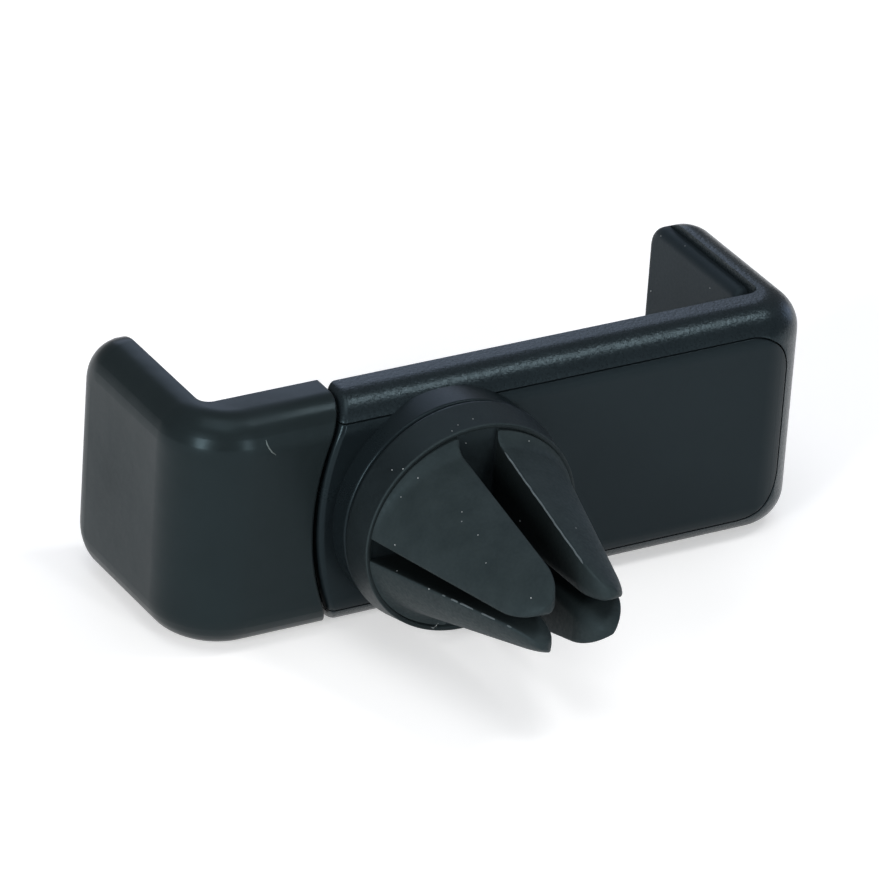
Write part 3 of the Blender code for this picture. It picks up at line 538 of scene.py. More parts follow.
# Thin flash of that rubber along the mould's parting edge, coloured pale as a painted highlight of the light its thin
# edge catches
FLASH_HIGHLIGHT_TPE = MouldedPolymer("thin_tpe_flash_painted_highlight", "#4d5558", "#596164", 1.50, 0.40, (0.40, 0.50), 0.30 * MM,
                           0.002 * MM, 2.0 * MM, 0.01 * MM)
# Pale ABS tone of a thin bright line on the jaw's fillet: a painted highlight
HIGHLIGHT_LINE_ABS = MouldedPolymer("pale_abs_painted_highlight", "#4e5654", "#5e6664", 1.53, 0.40, (0.30, 0.40), 0.20 * MM,
                           0.002 * MM, 2.0 * MM, 0.01 * MM)
# Pale household dust and lint
LINT = MouldedPolymer("pale_lint", "#8c9294", "#b4b9ba", 1.45, 0.20, (0.80, 0.90), 0.10 * MM,
                      0.010 * MM, 1.0 * MM, 0.01 * MM)
# Dull glass-filled nylon of the hub and washer
HUB_NYLON = MouldedPolymer("glass_filled_nylon_hub", "#1d1f21", "#2a2c2e", 1.53, 0.35, (0.45, 0.60), 0.30 * MM,
                           0.006 * MM, 3.0 * MM, 0.02 * MM)
STEEL = PlatedSteel()


# Pieces


@dataclass(frozen=True)
class Holder:
    """Sizes that the pieces share, in metres."""

    half_height: float = 11.75 * MM
    back_y: float = -5.7 * MM
    front_y: float = -0.9 * MM
    slide_front_y: float = -0.2 * MM
    jaw_top_y: float = 17.3 * MM
    jaw_thickness: float = 3.8 * MM
    fixed_reach: float = 40.2 * MM
    sliding_reach: float = 26.0 * MM
    seam_reach: float = 12.5 * MM
    seam_radius: float = 26.0 * MM
    seam_gap: float = 0.5 * MM
    cover_inner_y: float = -4.5 * MM
    channel_front_y: float = -2.1 * MM
    fit: float = 0.3 * MM
    joint_line: float = 0.13 * MM
    pad_line: float = 0.05 * MM

    def seam_shift(self, height: float) -> float:
        """How far the curved seam has moved towards +X at a height."""
        return self.seam_radius - math.sqrt(self.seam_radius ** 2 - height ** 2)

    def seam_arc(self, half: float, shift: float = 0.0, steps: int = 36) -> Outline:
        """Points of the curved seam from the bottom to the top.

        Args:
            half: Height that the arc covers above and below the middle.
            shift: How far the arc lies towards the sliding jaw.
            steps: Number of chords.

        Returns:
            Points in X and Z.
        """
        heights = [half * (2 * step / steps - 1) for step in range(steps + 1)]
        return [(-self.seam_reach - shift + self.seam_shift(h), h) for h in heights]


@dataclass
class Shell:
    """L-shaped moulding of a strip and its jaw, with a curved end at the seam."""

    holder: Holder
    side: Side
    corner_radius: float
    end_shift: float = 0.0
    inner_corner: float = 1.2 * MM
    tip_radius: float = 4.4 * MM
    outer_edge: float = 3.4 * MM
    inner_edge: float = 0.3 * MM
    lip_edge: float = 0.65 * MM
    lip_steps: int = 7
    levels: int = 28
    end_zone: float = 1.5 * MM

    @property
    def reach(self) -> float:
        """Distance from the swivel axis to the jaw's outer face."""
        return self.holder.fixed_reach if self.side is Side.FIXED else self.holder.sliding_reach

    @property
    def front_y(self) -> float:
        """Plane of the strip's front face."""
        return self.holder.front_y if self.side is Side.FIXED else self.holder.slide_front_y

    def blank(self) -> bmesh.types.BMesh:
        """Solid of the moulding with every outside edge rounded.

        Returns:
            A closed mesh.
        """
        size, sign = self.holder, self.side.value
        outer, inner = sign * self.reach, sign * (self.reach - size.jaw_thickness)
        end_x = -size.seam_reach - self.end_shift + sign * self.lip_edge
        bm = bmesh.new()
        outline = [(end_x, size.back_y), (outer, size.back_y), (outer, size.jaw_top_y), (inner, size.jaw_top_y),
                   (inner, self.front_y), (end_x, self.front_y)]
        prism(bm, outline, Axis.Z, -size.half_height, size.half_height)
        bmesh.ops.recalc_face_normals(bm, faces=bm.faces)
        self.round_corners(bm, outer, inner)
        self.round_edges(bm, end_x)
        self.round_end(bm, end_x)
        self.curve_end(bm, end_x - sign * self.lip_edge)
        return bm

    def round_corners(self, bm: bmesh.types.BMesh, outer: float, inner: float) -> None:
        """Round the bend of the moulding and the jaw's tip.

        Args:
            bm: The block.
            outer: X of the jaw's outer face.
            inner: X of the jaw's inner face.
        """
        def along(x: float, y: float) -> list[bmesh.types.BMEdge]:
            """Edges whose middle lies at a place in X and Y."""
            middles = [(edge, (edge.verts[0].co + edge.verts[1].co) / 2) for edge in bm.edges]
            return [edge for edge, m in middles if abs(m.x - x) < 1e-6 and abs(m.y - y) < 1e-6]

        bevel(bm, along(outer, self.holder.back_y), self.corner_radius, 24)
        bevel(bm, along(inner, self.front_y), self.inner_corner, 8)
        bevel(bm, along((outer + inner) / 2, self.holder.jaw_top_y), self.tip_radius, 16)

    def round_edges(self, bm: bmesh.types.BMesh, end_x: float) -> None:
        """Round the long outside and inside edges.

        Args:
            bm: The block with rounded corners.
            end_x: X of the flat end.
        """
        sign = self.side.value

        def at_end(face: bmesh.types.BMFace) -> bool:
            """True for the flat end."""
            return all(abs(vert.co.x - end_x) < 1e-6 for vert in face.verts)

        def outside(face: bmesh.types.BMFace) -> bool:
            """True for the back and the jaw's outer face."""
            n = face.normal
            return abs(n.z) < 1e-3 and (sign * n.x > 1e-3 or n.y < -1e-3)

        def inside(face: bmesh.types.BMFace) -> bool:
            """True for the front and the jaw's inner face."""
            n = face.normal
            facing = sign * n.x < -1e-3 or n.y > 1e-3
            return abs(n.z) < 1e-3 and facing and face.calc_center_median().y < self.holder.jaw_top_y - 1e-5

        def parts(edge: bmesh.types.BMEdge, group: Callable[[bmesh.types.BMFace], bool]) -> bool:
            """True where an edge parts a face of the group from one outside it, away from the end."""
            if len(edge.link_faces) != 2:
                return False
            first, second = edge.link_faces
            return group(first) != group(second) and not (at_end(first) or at_end(second))

        bevel(bm, [e for e in bm.edges if parts(e, outside)], self.outer_edge, 12)
        bevel(bm, [e for e in bm.edges if parts(e, inside)], self.inner_edge, 3)

    def round_end(self, bm: bmesh.types.BMesh, start_x: float) -> None:
        """Round the lip at the seam ring by ring, from the end of the long faces.

        Args:
            bm: The block with rounded edges.
            start_x: X where the long faces end.
        """
        cap = next(f for f in bm.faces if all(abs(v.co.x - start_x) < 1e-6 for v in f.verts))
        middle_y, half_y = (self.holder.back_y + self.front_y) / 2, (self.front_y - self.holder.back_y) / 2
        rim = [(vert.co.y - middle_y, vert.co.z) for vert in cap.verts]
        for step in range(1, self.lip_steps + 1):
            angle = math.pi / 2 * step / self.lip_steps
            drop = self.lip_edge * (1.0 - math.cos(angle))
            cap = bmesh.ops.extrude_discrete_faces(bm, faces=[cap])["faces"][0]
            for vert, (y, z) in zip(cap.verts, rim):
                vert.co = (start_x - self.side.value * self.lip_edge * math.sin(angle),
                           middle_y + y * (half_y - drop) / half_y,
                           z * (self.holder.half_height - drop) / self.holder.half_height)

    def curve_end(self, bm: bmesh.types.BMesh, end_x: float) -> None:
        """Bend the end at the seam into its arc.

        Args:
            bm: The rounded block.
            end_x: X of the flat end.
        """
        half = self.holder.half_height
        for step in range(1, self.levels):
            level = half * (2 * step / self.levels - 1)
            bmesh.ops.bisect_plane(bm, geom=bm.verts[:] + bm.edges[:] + bm.faces[:], dist=1e-7,
                                   plane_co=(0, 0, level), plane_no=(0, 0, 1))
        for vert in bm.verts:
            if abs(vert.co.x - end_x) < self.end_zone:
                vert.co.x += self.holder.seam_shift(vert.co.z)


@dataclass
class BodyShell:
    """Strip and fixed jaw, with the rebate of the cover and the channel of the tongue."""

    holder: Holder
    finish: bpy.types.Material
    corner_radius: float = 5.6 * MM
    channel_half: float = 6.1 * MM
    mouth_half: float = 5.1 * MM
    channel_end: float = 30.3 * MM
    stop_shoulder: float = 0.5 * MM
    pad_recess: float = 0.6 * MM
    front_recess: float = 0.4 * MM
    groove_edge: float = 0.06 * MM

    def build(self) -> bpy.types.Object:
        """Make the body.

        Returns:
            The dressed piece.
        """
        size = self.holder
        shell = Shell(size, Side.FIXED, self.corner_radius)
        body = new_mesh_object("body_shell", shell.blank())
        ledge = size.cover_inner_y + size.fit
        rebate = bmesh.new()
        prism(rebate, cover_outline(size, size.joint_line, 2 * MM), Axis.Y, size.back_y - 2 * MM, ledge)
        carve(body, rebate, Cut.TAKE)
        carve(body, block((-size.seam_reach - 2 * MM, ledge - MM, -self.mouth_half),
                          (self.stop_shoulder + MM, size.channel_front_y, self.mouth_half)), Cut.TAKE)
        carve(body, block((self.stop_shoulder, ledge - MM, -self.channel_half),
                          (self.channel_end, size.channel_front_y, self.channel_half)), Cut.TAKE)
        recess = bmesh.new()
        prism(recess, front_pad_outline(size, size.joint_line), Axis.Y, size.front_y - self.front_recess,
              size.front_y + 2 * MM)
        carve(body, recess, Cut.TAKE)
        inner = size.fixed_reach - size.jaw_thickness
        jaw_recess = bmesh.new()
        prism(jaw_recess, jaw_pad_outline(size, size.pad_line), Axis.X, inner - 2 * MM, inner + self.pad_recess)
        carve(body, jaw_recess, Cut.TAKE)

        def on_rebate(edge: bmesh.types.BMEdge) -> bool:
            """True for the outer rim of the cover's rebate."""
            walls = [f for f in edge.link_faces if abs(f.normal.y) < 0.02]
            skins = [f for f in edge.link_faces if f.normal.y < -0.3]
            middle = (edge.verts[0].co + edge.verts[1].co) / 2
            return len(walls) == 1 and len(skins) == 1 and middle.y < ledge - 0.2 * MM

        round_rim(body, on_rebate, self.groove_edge)
        dress(body, self.finish, "shell_abs", "holder", "body_frame")
        return body


def dress(piece: bpy.types.Object, finish: bpy.types.Material, slot: str, body: str, *nodes: str) -> None:
    """Shade a piece, give it its finish, and tie it to its body and the nodes it stands for.

    Args:
        piece: The piece.
        finish: Its material.
        slot: Not used.
        body: The body that it moves with.
        nodes: The CAD nodes that it stands for.
    """
    piece.data.materials.clear()
    piece.data.materials.append(finish)
    smooth(piece)
    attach(piece, body)
    if nodes:
        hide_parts(*nodes)
    LOG.info("%s: %d faces", piece.name, len(piece.data.polygons))


def cover_outline(size: Holder, grow: float = 0.0, left_grow: float = 0.0) -> Outline:
    """Outline of the cover in X and Z.

    Args:
        size: The shared sizes.
        grow: How far it is grown at the three closed sides.
        left_grow: How far its end lies towards the sliding jaw.

    Returns:
        The corners in order.
    """
    half = size.half_height - 2.15 * MM + grow
    right = size.fixed_reach - 3.05 * MM + grow
    radius = 4.35 * MM + grow
    points = arc((right - radius, half - radius), radius, 90.0, 0.0, 16)
    points += arc((right - radius, -half + radius), radius, 0.0, -90.0, 16)
    return points + size.seam_arc(half, left_grow)


def front_pad_outline(size: Holder, grow: float = 0.0) -> Outline:
    """Outline of the strip's pad in X and Z.

    Args:
        size: The shared sizes.
        grow: How far it is grown all round.

    Returns:
        The corners in order.
    """
    margin = 2.2 * MM
    half = size.half_height - margin + grow
    right = size.fixed_reach - size.jaw_thickness - margin + grow
    radius = 2.0 * MM + grow
    points = arc((right - radius, half - radius), radius, 90.0, 0.0, 10)
    points += arc((right - radius, -half + radius), radius, 0.0, -90.0, 10)
    return points + size.seam_arc(half, grow - margin)


def slide_pad_outline(size: Holder, grow: float = 0.0) -> Outline:
    """Outline of the sliding jaw's small pad in X and Z.

    Args:
        size: The shared sizes.
        grow: How far it is grown all round.

    Returns:
        The corners in order.
    """
    margin = 2.2 * MM
    half = size.half_height - margin + grow
    left = -size.sliding_reach + size.jaw_thickness + margin - grow
    radius = 2.0 * MM + grow
    points = arc((left + radius, -half + radius), radius, 270.0, 180.0, 10)
    points += arc((left + radius, half - radius), radius, 180.0, 90.0, 10)
    return points + list(reversed(size.seam_arc(half, size.seam_gap + margin - grow)))


def jaw_pad_outline(size: Holder, grow: float = 0.0) -> Outline:
    """Outline of a jaw's pad in Y and Z, with large corners at the tip.

    Args:
        size: The shared sizes.
        grow: How far it is grown all round.

    Returns:
        The corners in order.
    """
    half = size.half_height - 0.85 * MM + grow
    low, high = 1.2 * MM - grow, size.jaw_top_y - 0.1 * MM + grow
    tip, foot = 2.3 * MM + grow, 1.0 * MM + grow
    points = arc((high - tip, half - tip), tip, 0.0, 90.0, 12)
    points += arc((low + foot, half - foot), foot, 90.0, 180.0, 8)
    points += arc((low + foot, -half + foot), foot, 180.0, 270.0, 8)
    return points + arc((high - tip, -half + tip), tip, 270.0, 360.0, 12)


@dataclass
class BackCover:
    """Inset cover, flush with the body's rounded back, with the clip's ring seat and spigot."""

    holder: Holder
    finish: bpy.types.Material
    seat_radius: float = 11.1 * MM
    seat_bore: float = 6.3 * MM
    seat_y: float = -7.95 * MM
    seat_edge: float = 0.35 * MM
    spigot_radius: float = 2.6 * MM
    spigot_end: float = -7.9 * MM
    rim_edge: float = 0.06 * MM

    def build(self) -> bpy.types.Object:
        """Make the cover.

        Returns:
            The dressed piece.
        """
        size = self.holder
        plate = bmesh.new()
        prism(plate, cover_outline(size, left_grow=2 * MM), Axis.Y, size.back_y - MM, size.cover_inner_y)
        cover = new_mesh_object("cover_plate", plate)
        envelope = Shell(size, Side.FIXED, 5.6 * MM).blank()
        carve(cover, envelope, Cut.KEEP)

        def on_rim(edge: bmesh.types.BMEdge) -> bool:
            """True for the rim of the outer skin."""
            walls = [f for f in edge.link_faces if abs(f.normal.y) < 0.02]
            skins = [f for f in edge.link_faces if f.normal.y < -0.3]
            return len(walls) == 1 and len(skins) == 1

        round_rim(cover, on_rim, self.rim_edge)
        carve(cover, self.seat(), Cut.JOIN)
        spigot = bmesh.new()
        prism(spigot, arc((0, 0), self.spigot_radius, 0.0, 354.0, 59), Axis.Y, self.spigot_end, -5.0 * MM)
        carve(cover, spigot, Cut.JOIN)
        dress(cover, self.finish, "cover_abs", "holder", "back_cover")
        return cover

    def seat(self) -> bmesh.types.BMesh:
        """Raised ring that the clip turns on.

        Returns:
            A closed mesh that reaches into the plate.
        """
        inside = -4.9 * MM
        corners = [(self.seat_bore, self.seat_y), (self.seat_radius, self.seat_y), (self.seat_radius, inside),
                   (self.seat_bore, inside)]
        return turned(rounded(corners, (0.15 * MM, self.seat_edge, 0.0, 0.0), 5), 144)


@dataclass
class SlidingJaw:
    """Sliding jaw with its hollow root and the tongue that runs in the body."""

    holder: Holder
    finish: bpy.types.Material
    corner_radius: float = 6.8 * MM
    lip_edge: float = 0.3 * MM
    pocket_back: float = 1.3 * MM
    pocket_front: float = 1.7 * MM
    pocket_side: float = 2.6 * MM
    pocket_end: float = 1.2 * MM
    tongue_end: float = 27.8 * MM
    tongue_half: float = 4.8 * MM
    stop_half: float = 5.8 * MM
    stop_length: float = 2.0 * MM
    tongue_back_y: float = -4.2 * MM
    tongue_front_y: float = -2.4 * MM
    pad_recess: float = 0.6 * MM
    slide_recess: float = 0.7 * MM

    def build(self) -> bpy.types.Object:
        """Make the jaw.

        Returns:
            The dressed piece.
        """
        size = self.holder
        shell = Shell(size, Side.SLIDING, self.corner_radius, end_shift=size.seam_gap, lip_edge=self.lip_edge)
        jaw = new_mesh_object("jaw_shell", shell.blank())
        side = size.half_height - self.pocket_side
        inner = -size.sliding_reach + size.jaw_thickness
        carve(jaw, block((inner + self.pocket_end, size.back_y + self.pocket_back, -side),
                         (-2 * MM, size.slide_front_y - self.pocket_front, side)), Cut.TAKE)
        tongue = bmesh.new()
        prism(tongue, self.tongue_outline(inner - 0.9 * MM), Axis.Y, self.tongue_back_y, self.tongue_front_y)
        carve(jaw, tongue, Cut.JOIN)
        for row in (-2.6 * MM, 2.6 * MM):
            carve(jaw, block((12.7 * MM, -5 * MM, row - 1.2 * MM), (29 * MM, -1.5 * MM, row + 1.2 * MM)), Cut.TAKE)
        recess = bmesh.new()
        prism(recess, slide_pad_outline(size, size.joint_line), Axis.Y, size.slide_front_y - self.slide_recess,
              size.slide_front_y + 2 * MM)
        carve(jaw, recess, Cut.TAKE)
        jaw_recess = bmesh.new()
        prism(jaw_recess, jaw_pad_outline(size, size.pad_line), Axis.X, inner - self.pad_recess, inner + 2 * MM)
        carve(jaw, jaw_recess, Cut.TAKE)
        dress(jaw, self.finish, "shell_abs", "jaw", "sliding_jaw")
        return jaw

    def tongue_outline(self, start: float) -> Outline:
        """Outline of the tongue with its two stops.

        Args:
            start: X where it grows from the jaw.

        Returns:
            Corners in X and Z.
        """
        stop = self.tongue_end - self.stop_length
        upper = [(start, self.tongue_half), (stop, self.tongue_half), (stop, self.stop_half),
                 (self.tongue_end - self.stop_length / 3, self.stop_half), (self.tongue_end, self.tongue_half)]
        return upper + [(x, -z) for x, z in reversed(upper)]


@dataclass
class Pad:
    """Soft moulded pad in a recess, with a rounded exposed edge."""

    name: str
    node: str
    body: str
    outline: Outline
    axis: Axis
    back: float
    front: float
    edge: float
    finish: bpy.types.Material

    def build(self) -> bpy.types.Object:
        """Make the pad.

        Returns:
            The dressed piece.
        """
        bm = bmesh.new()
        prism(bm, self.outline, self.axis, self.back, self.front)
        index = "XYZ".index(self.axis.value)
        rim = [e for e in bm.edges if all(abs(v.co[index] - self.front) < 1e-7 for v in e.verts)]
        bevel(bm, rim, self.edge, 6)
        pad = new_mesh_object(self.name, bm)
        dress(pad, self.finish, "pad_tpe", self.body, self.node)
        return pad


@dataclass
class Prong:
    """One of the clip's four prongs: a quarter of an oval that narrows to a rounded tip."""

    sign_x: int
    sign_z: int
    rim_y: float = -11.7 * MM
    length: float = 19.3 * MM
    root: tuple[float, float] = (10.6 * MM, 8.7 * MM)
    tip: tuple[float, float] = (5.2 * MM, 3.6 * MM)
    lean: float = 0.5 * MM
    wide_slot: tuple[float, float] = (4.0 * MM, 3.0 * MM)
    narrow_slot: tuple[float, float] = (2.1 * MM, 0.6 * MM)
    edge: float = 0.3 * MM
    tip_radius: float = 3.6 * MM
    tip_inner_edge: float = 2.2 * MM
    tip_thickness: float = 0.24
    tip_drop: float = 0.35 * MM
    flare: float = 1.1 * MM
    sink: float = 0.7 * MM
    arc_steps: int = 22
    tip_steps: int = 14

    def section(self, share: float) -> Outline:
        """Outline of the prong at +X and +Z.

        Args:
            share: Share of the length from the rim to the tip.

        Returns:
            Corners in X and Z, with the same count at every share.
        """
        half_x, half_z = between(self.root[0], self.tip[0], share), between(self.root[1], self.tip[1], share)
        rest = min(max(1.0 - share * self.length / self.flare, 0.0), 1.0)
        half_z += self.flare * (1.0 - math.sqrt(1.0 - rest ** 2))
        left, low = between(*self.wide_slot, share) / 2, between(*self.narrow_slot, share) / 2
        start, stop = math.asin(low / half_z), math.acos(left / half_x)
        first, last = start + 1.3 * self.edge / half_z, stop - 1.3 * self.edge / half_x
        angles = [between(first, last, step / self.arc_steps) for step in range(self.arc_steps + 1)]
        curve = [(half_x * math.cos(a), half_z * math.sin(a)) for a in [start, *angles, stop]]
        points = [(left, low)] + curve
        inner = between(self.edge, self.tip_inner_edge, max(share, 0.0) ** 2)
        radii = [inner, self.edge] + [0.0] * (len(points) - 3) + [self.edge]
        return rounded(points, radii, 4)

    def build(self) -> bmesh.types.BMesh:
        """Loft the prong from its foot in the web to its tip.

        Returns:
            A closed mesh.
        """
        tip_curve = self.section(1.0)
        corner_low, corner_high = Vector(tip_curve[9]), Vector(tip_curve[-5])
        along = (corner_high - corner_low).normalized()
        outward = Vector((along.y, -along.x))
        middle = (corner_high + corner_low).dot(along) / 2
        straight = self.length - self.tip_radius
        levels = [(-self.sink, 1.0)] + [(self.flare * step / 8, 1.0) for step in range(8)]
        levels += [(between(self.flare, straight, step / 10), 1.0) for step in range(11)]
        for step in range(1, self.tip_steps + 1):
            angle = math.pi / 2 * min(step, self.tip_steps - 0.15) / self.tip_steps
            levels.append((straight + self.tip_radius * math.sin(angle), math.cos(angle)))
        bm = bmesh.new()
        face = bm.faces.new([bm.verts.new((0, 0, 0)) for _ in tip_curve])
        ring = list(face.verts)
        for index, (distance, width) in enumerate(levels):
            if index:
                below = face
                lifted = bmesh.ops.extrude_face_region(bm, geom=[face])["geom"]
                face = next(item for item in lifted if isinstance(item, bmesh.types.BMFace))
                ring = self.follow(ring, lifted)
                if index > 1:
                    bm.faces.remove(below)
            spots = [Vector(point) for point in self.section(distance / self.length)]
            crest = max(spot.dot(outward) for spot in spots)
            thin = (1.0 - self.tip_thickness) * (1.0 - width)
            for vert, spot in zip(ring, spots):
                spot -= along * (spot.dot(along) - middle) * (1.0 - width)
                spot += outward * ((crest - spot.dot(outward)) * thin - self.tip_drop * (1.0 - width))
                shift = self.lean * distance / self.length
                vert.co = (self.sign_x * spot.x, self.rim_y - distance, self.sign_z * spot.y + shift)
        return bm

    def follow(self, ring: list[bmesh.types.BMVert], lifted: list) -> list[bmesh.types.BMVert]:
        """Vertices of a new ring in the order of the ring below.

        Args:
            ring: Vertices of the ring below.
            lifted: What the extrusion made.

        Returns:
            The matching new vertices.
        """
        fresh = {item for item in lifted if isinstance(item, bmesh.types.BMVert)}
        return [next(e.other_vert(vert) for e in vert.link_edges if e.other_vert(vert) in fresh) for vert in ring]


@dataclass
class ClipHead:
    """Rubber head: round base with a lipped front rim, and four prongs."""

    finish: bpy.types.Material
    prong_finish: bpy.types.Material
    # Finish of the slot faces, which carries painted shade
    slot_shade_finish: bpy.types.Material
    radius: float = 11.3 * MM
    rim_radius: float = 10.9 * MM
    rim_squash: float = 0.959
    back_y: float = -8.25 * MM
    rim_y: float = -11.7 * MM
    floor_y: float = -11.35 * MM
    room_y: float = -10.65 * MM
    lip_y: float = -9.05 * MM
    bore: float = 6.3 * MM
    pocket: float = 7.9 * MM
    wall: float = 0.4 * MM
    edge: float = 0.4 * MM

    def build(self) -> bpy.types.Object:
        """Make the head.

        Returns:
            The dressed piece.
        """
        corners = [(self.bore, self.back_y), (self.radius, self.back_y), (self.rim_radius, self.rim_y),
                   (self.rim_radius - self.wall, self.rim_y), (self.rim_radius - self.wall - 0.15 * MM, self.floor_y),
                   (0.0, self.floor_y), (0.0, self.room_y), (self.pocket, self.room_y), (self.pocket, self.lip_y),
                   (self.bore, self.lip_y)]
        radii = [0.0, self.edge, 0.18 * MM, 0.12 * MM, 0.1 * MM] + [0.0] * 5
        base = turned(rounded(corners, radii, 5), 160)
        for vert in base.verts:
            if vert.co.xz.length > self.pocket + self.edge:
                share = (self.back_y - vert.co.y) / (self.back_y - self.rim_y)
                vert.co.z *= between(1.0, self.rim_squash, share)
        head = new_mesh_object("rubber_clip", base)
        for sign_x, sign_z in ((-1, 1), (-1, -1), (1, 1), (1, -1)):
            carve(head, Prong(sign_x, sign_z).build(), Cut.JOIN)
        dress(head, self.finish, "clip_tpe", "clip", "clip_head")
        head.data.materials.append(self.prong_finish)
        head.data.materials.append(self.slot_shade_finish)
        for face in head.data.polygons:
            face.material_index = self.zone(face)
        return head

    def zone(self, face: bpy.types.MeshPolygon) -> int:
        """Which finish a face wears.

        Args:
            face: A face of the head.

        Returns:
            0 on the base, 1 on a prong's outside, 2 inside a slot, whose finish is painted shade.
        """
        x, y, z = face.center
        if y > self.floor_y - 0.05 * MM:
            return 0
        lean = Prong.lean * (self.rim_y - y) / Prong.length
        wide, narrow = Prong.wide_slot[0] / 2 + 0.15 * MM, Prong.narrow_slot[0] / 2 + 0.1 * MM
        in_wide = abs(x) < wide and abs(face.normal.x) > 0.8
        in_narrow = abs(z - lean) < narrow and abs(face.normal.z) > 0.8
        on_floor = y > self.rim_y and face.normal.y < -0.9
        on_tip = y < self.rim_y - Prong.length + Prong.tip_radius
        return 2 if (in_wide or in_narrow or on_floor) and not on_tip else 1


# Camera


@dataclass(frozen=True)
class PhotoCamera:
    """Camera at the photograph's viewing angle, with its place given in pixels of the frame."""

    azimuth: float = -31.805
    elevation: float = 28.448
    roll: float = 4.2
    scale: float = 10.890235
    distance: float = 700.0
    centre: tuple[float, float] = (484.861, 472.493)
    anchor: tuple[float, float, float] = (6.35, -3.0, 0.0)
    sensor: float = 36.0

    def axes(self) -> tuple[Vector, Vector, Vector]:
        """Right, up and back directions of the camera.

        Returns:
            Three unit vectors.
        """
        a, e, r = (math.radians(x) for x in (self.azimuth, self.elevation, self.roll))
        back = Vector((math.sin(a) * math.cos(e), -math.cos(a) * math.cos(e), math.sin(e)))
        level = Vector((math.cos(a), math.sin(a), 0.0))
        rise = back.cross(level)
        return level * math.cos(r) + rise * math.sin(r), rise * math.cos(r) - level * math.sin(r), back

    def place(self) -> Vector:
        """Where the camera stands, in metres."""
        return (Vector(self.anchor) + self.axes()[2] * self.distance) * MM

    def build(self) -> bpy.types.Object:
        """Make the camera and set it as the scene's.

        Returns:
            The camera.
        """
        data = bpy.data.cameras.new("photo_camera")
        data.sensor_width = self.sensor
        data.lens = self.sensor * self.scale * self.distance / FRAME_PIXELS
        data.shift_x = 0.5 - self.centre[0] / FRAME_PIXELS
        data.shift_y = self.centre[1] / FRAME_PIXELS - 0.5
        data.clip_start, data.clip_end = 0.05, 20.0
        camera = bpy.data.objects.new("photo_camera", data)
        bpy.context.scene.collection.objects.link(camera)
        turn = Matrix(self.axes()).transposed().to_4x4()
        camera.matrix_world = Matrix.Translation(self.place()) @ turn
        bpy.context.scene.camera = camera
        return camera

    def ray(self, across: float, down: float) -> Vector:
        """Direction in which the camera sees a pixel of the frame.

        Args:
            across: Pixels from the left.
            down: Pixels from the top.

        Returns:
            A unit vector.
        """
        right, up, back = self.axes()
        scale = self.scale * self.distance
        sight = right * (across - self.centre[0]) / scale - up * (down - self.centre[1]) / scale - back
        return sight.normalized()


# Small things on the surface


@dataclass
class Thread:
    """Thin round thread along a path: a fibre, a painted highlight line or the flash of a parting edge."""

    name: str
    path: list[Vector]
    radius: float
    finish: bpy.types.Material
    slot: str
    body: str

    def build(self) -> bpy.types.Object:
        """Make the thread.

        Returns:
            The dressed piece.
        """
        curve = bpy.data.curves.new(self.name, "CURVE")
        curve.dimensions = "3D"
        curve.bevel_depth, curve.bevel_resolution = self.radius, 2
        curve.use_fill_caps = True
        spline = curve.splines.new("POLY")
        spline.points.add(len(self.path) - 1)
        for index, (point, spot) in enumerate(zip(spline.points, self.path)):
            point.co = (*spot, 1.0)
            point.radius = 0.35 if index in (0, len(self.path) - 1) else 1.0
        drawn = bpy.data.objects.new("drawn", curve)
        bpy.context.scene.collection.objects.link(drawn)
        graph = bpy.context.evaluated_depsgraph_get()
        graph.update()
        bm = bmesh.new()
        bm.from_mesh(bpy.data.meshes.new_from_object(drawn.evaluated_get(graph), depsgraph=graph))
        bpy.data.objects.remove(drawn)
        bpy.data.curves.remove(curve)
        bmesh.ops.remove_doubles(bm, verts=bm.verts, dist=1e-7)
        thread = new_mesh_object(self.name, bm)
        dress(thread, self.finish, self.slot, self.body)
        return thread


@dataclass
class Marks:
    """Places on one carrier that the camera sees at given pixels, and the small things put there."""

    carrier: bpy.types.Object
    body: str
    slot: str
    camera: PhotoCamera

    def hit(self, pixel: tuple[float, float]) -> Optional[tuple[Vector, Vector]]:
        """Place and outward direction of the carrier's surface at a pixel.

        Args:
            pixel: Pixels from the left and from the top.

        Returns:
            The place and the direction, or None where the carrier isn't seen.
        """
        tree = BVHTree.FromObject(self.carrier, bpy.context.evaluated_depsgraph_get())
        place, normal, _, _ = tree.ray_cast(self.camera.place(), self.camera.ray(*pixel))
        return (place, normal) if place else None

    def dust(self, name: str, pixels: Sequence[tuple[float, float]], radius: float,
             finish: bpy.types.Material) -> None:
        """Lay flattened grains on the surface.

        Args:
            name: Name of the piece.
            pixels: Where the grains lie.
            radius: Usual radius of a grain.
            finish: Material of the grains.
        """
        chance = random.Random(len(pixels))
        bm = bmesh.new()
        for pixel in pixels:
            found = self.hit(pixel)
            if found is None:
                LOG.warning("%s: nothing at %s", name, pixel)
                continue
            place, normal = found
            size = radius * chance.uniform(0.7, 1.2)
            shape = Matrix.Diagonal((chance.uniform(0.7, 1.4), 1.0, 0.55, 1.0))
            turn = normal.to_track_quat("Z", "X").to_matrix().to_4x4()
            spin = Matrix.Rotation(chance.uniform(0.0, math.pi), 4, "Z")
            bmesh.ops.create_icosphere(bm, subdivisions=2, radius=size,
                                       matrix=Matrix.Translation(place + normal * size * 0.2) @ turn @ spin @ shape)
        dress(new_mesh_object(name, bm), finish, self.slot, self.body)

    def thread(self, name: str, pixels: Sequence[tuple[float, float]], radius: float, lift: float,
               finish: bpy.types.Material) -> None:
        """Lay a thread on the surface.

        Args:
            name: Name of the piece.
            pixels: Where it runs.
            radius: Its radius.
            lift: Height of its middle over the surface.
            finish: Its material.
        """
        spots = [found for found in map(self.hit, pixels) if found]
        path = [place + normal * lift for place, normal in spots]
        Thread(name, path, radius, finish, self.slot, self.body).build()


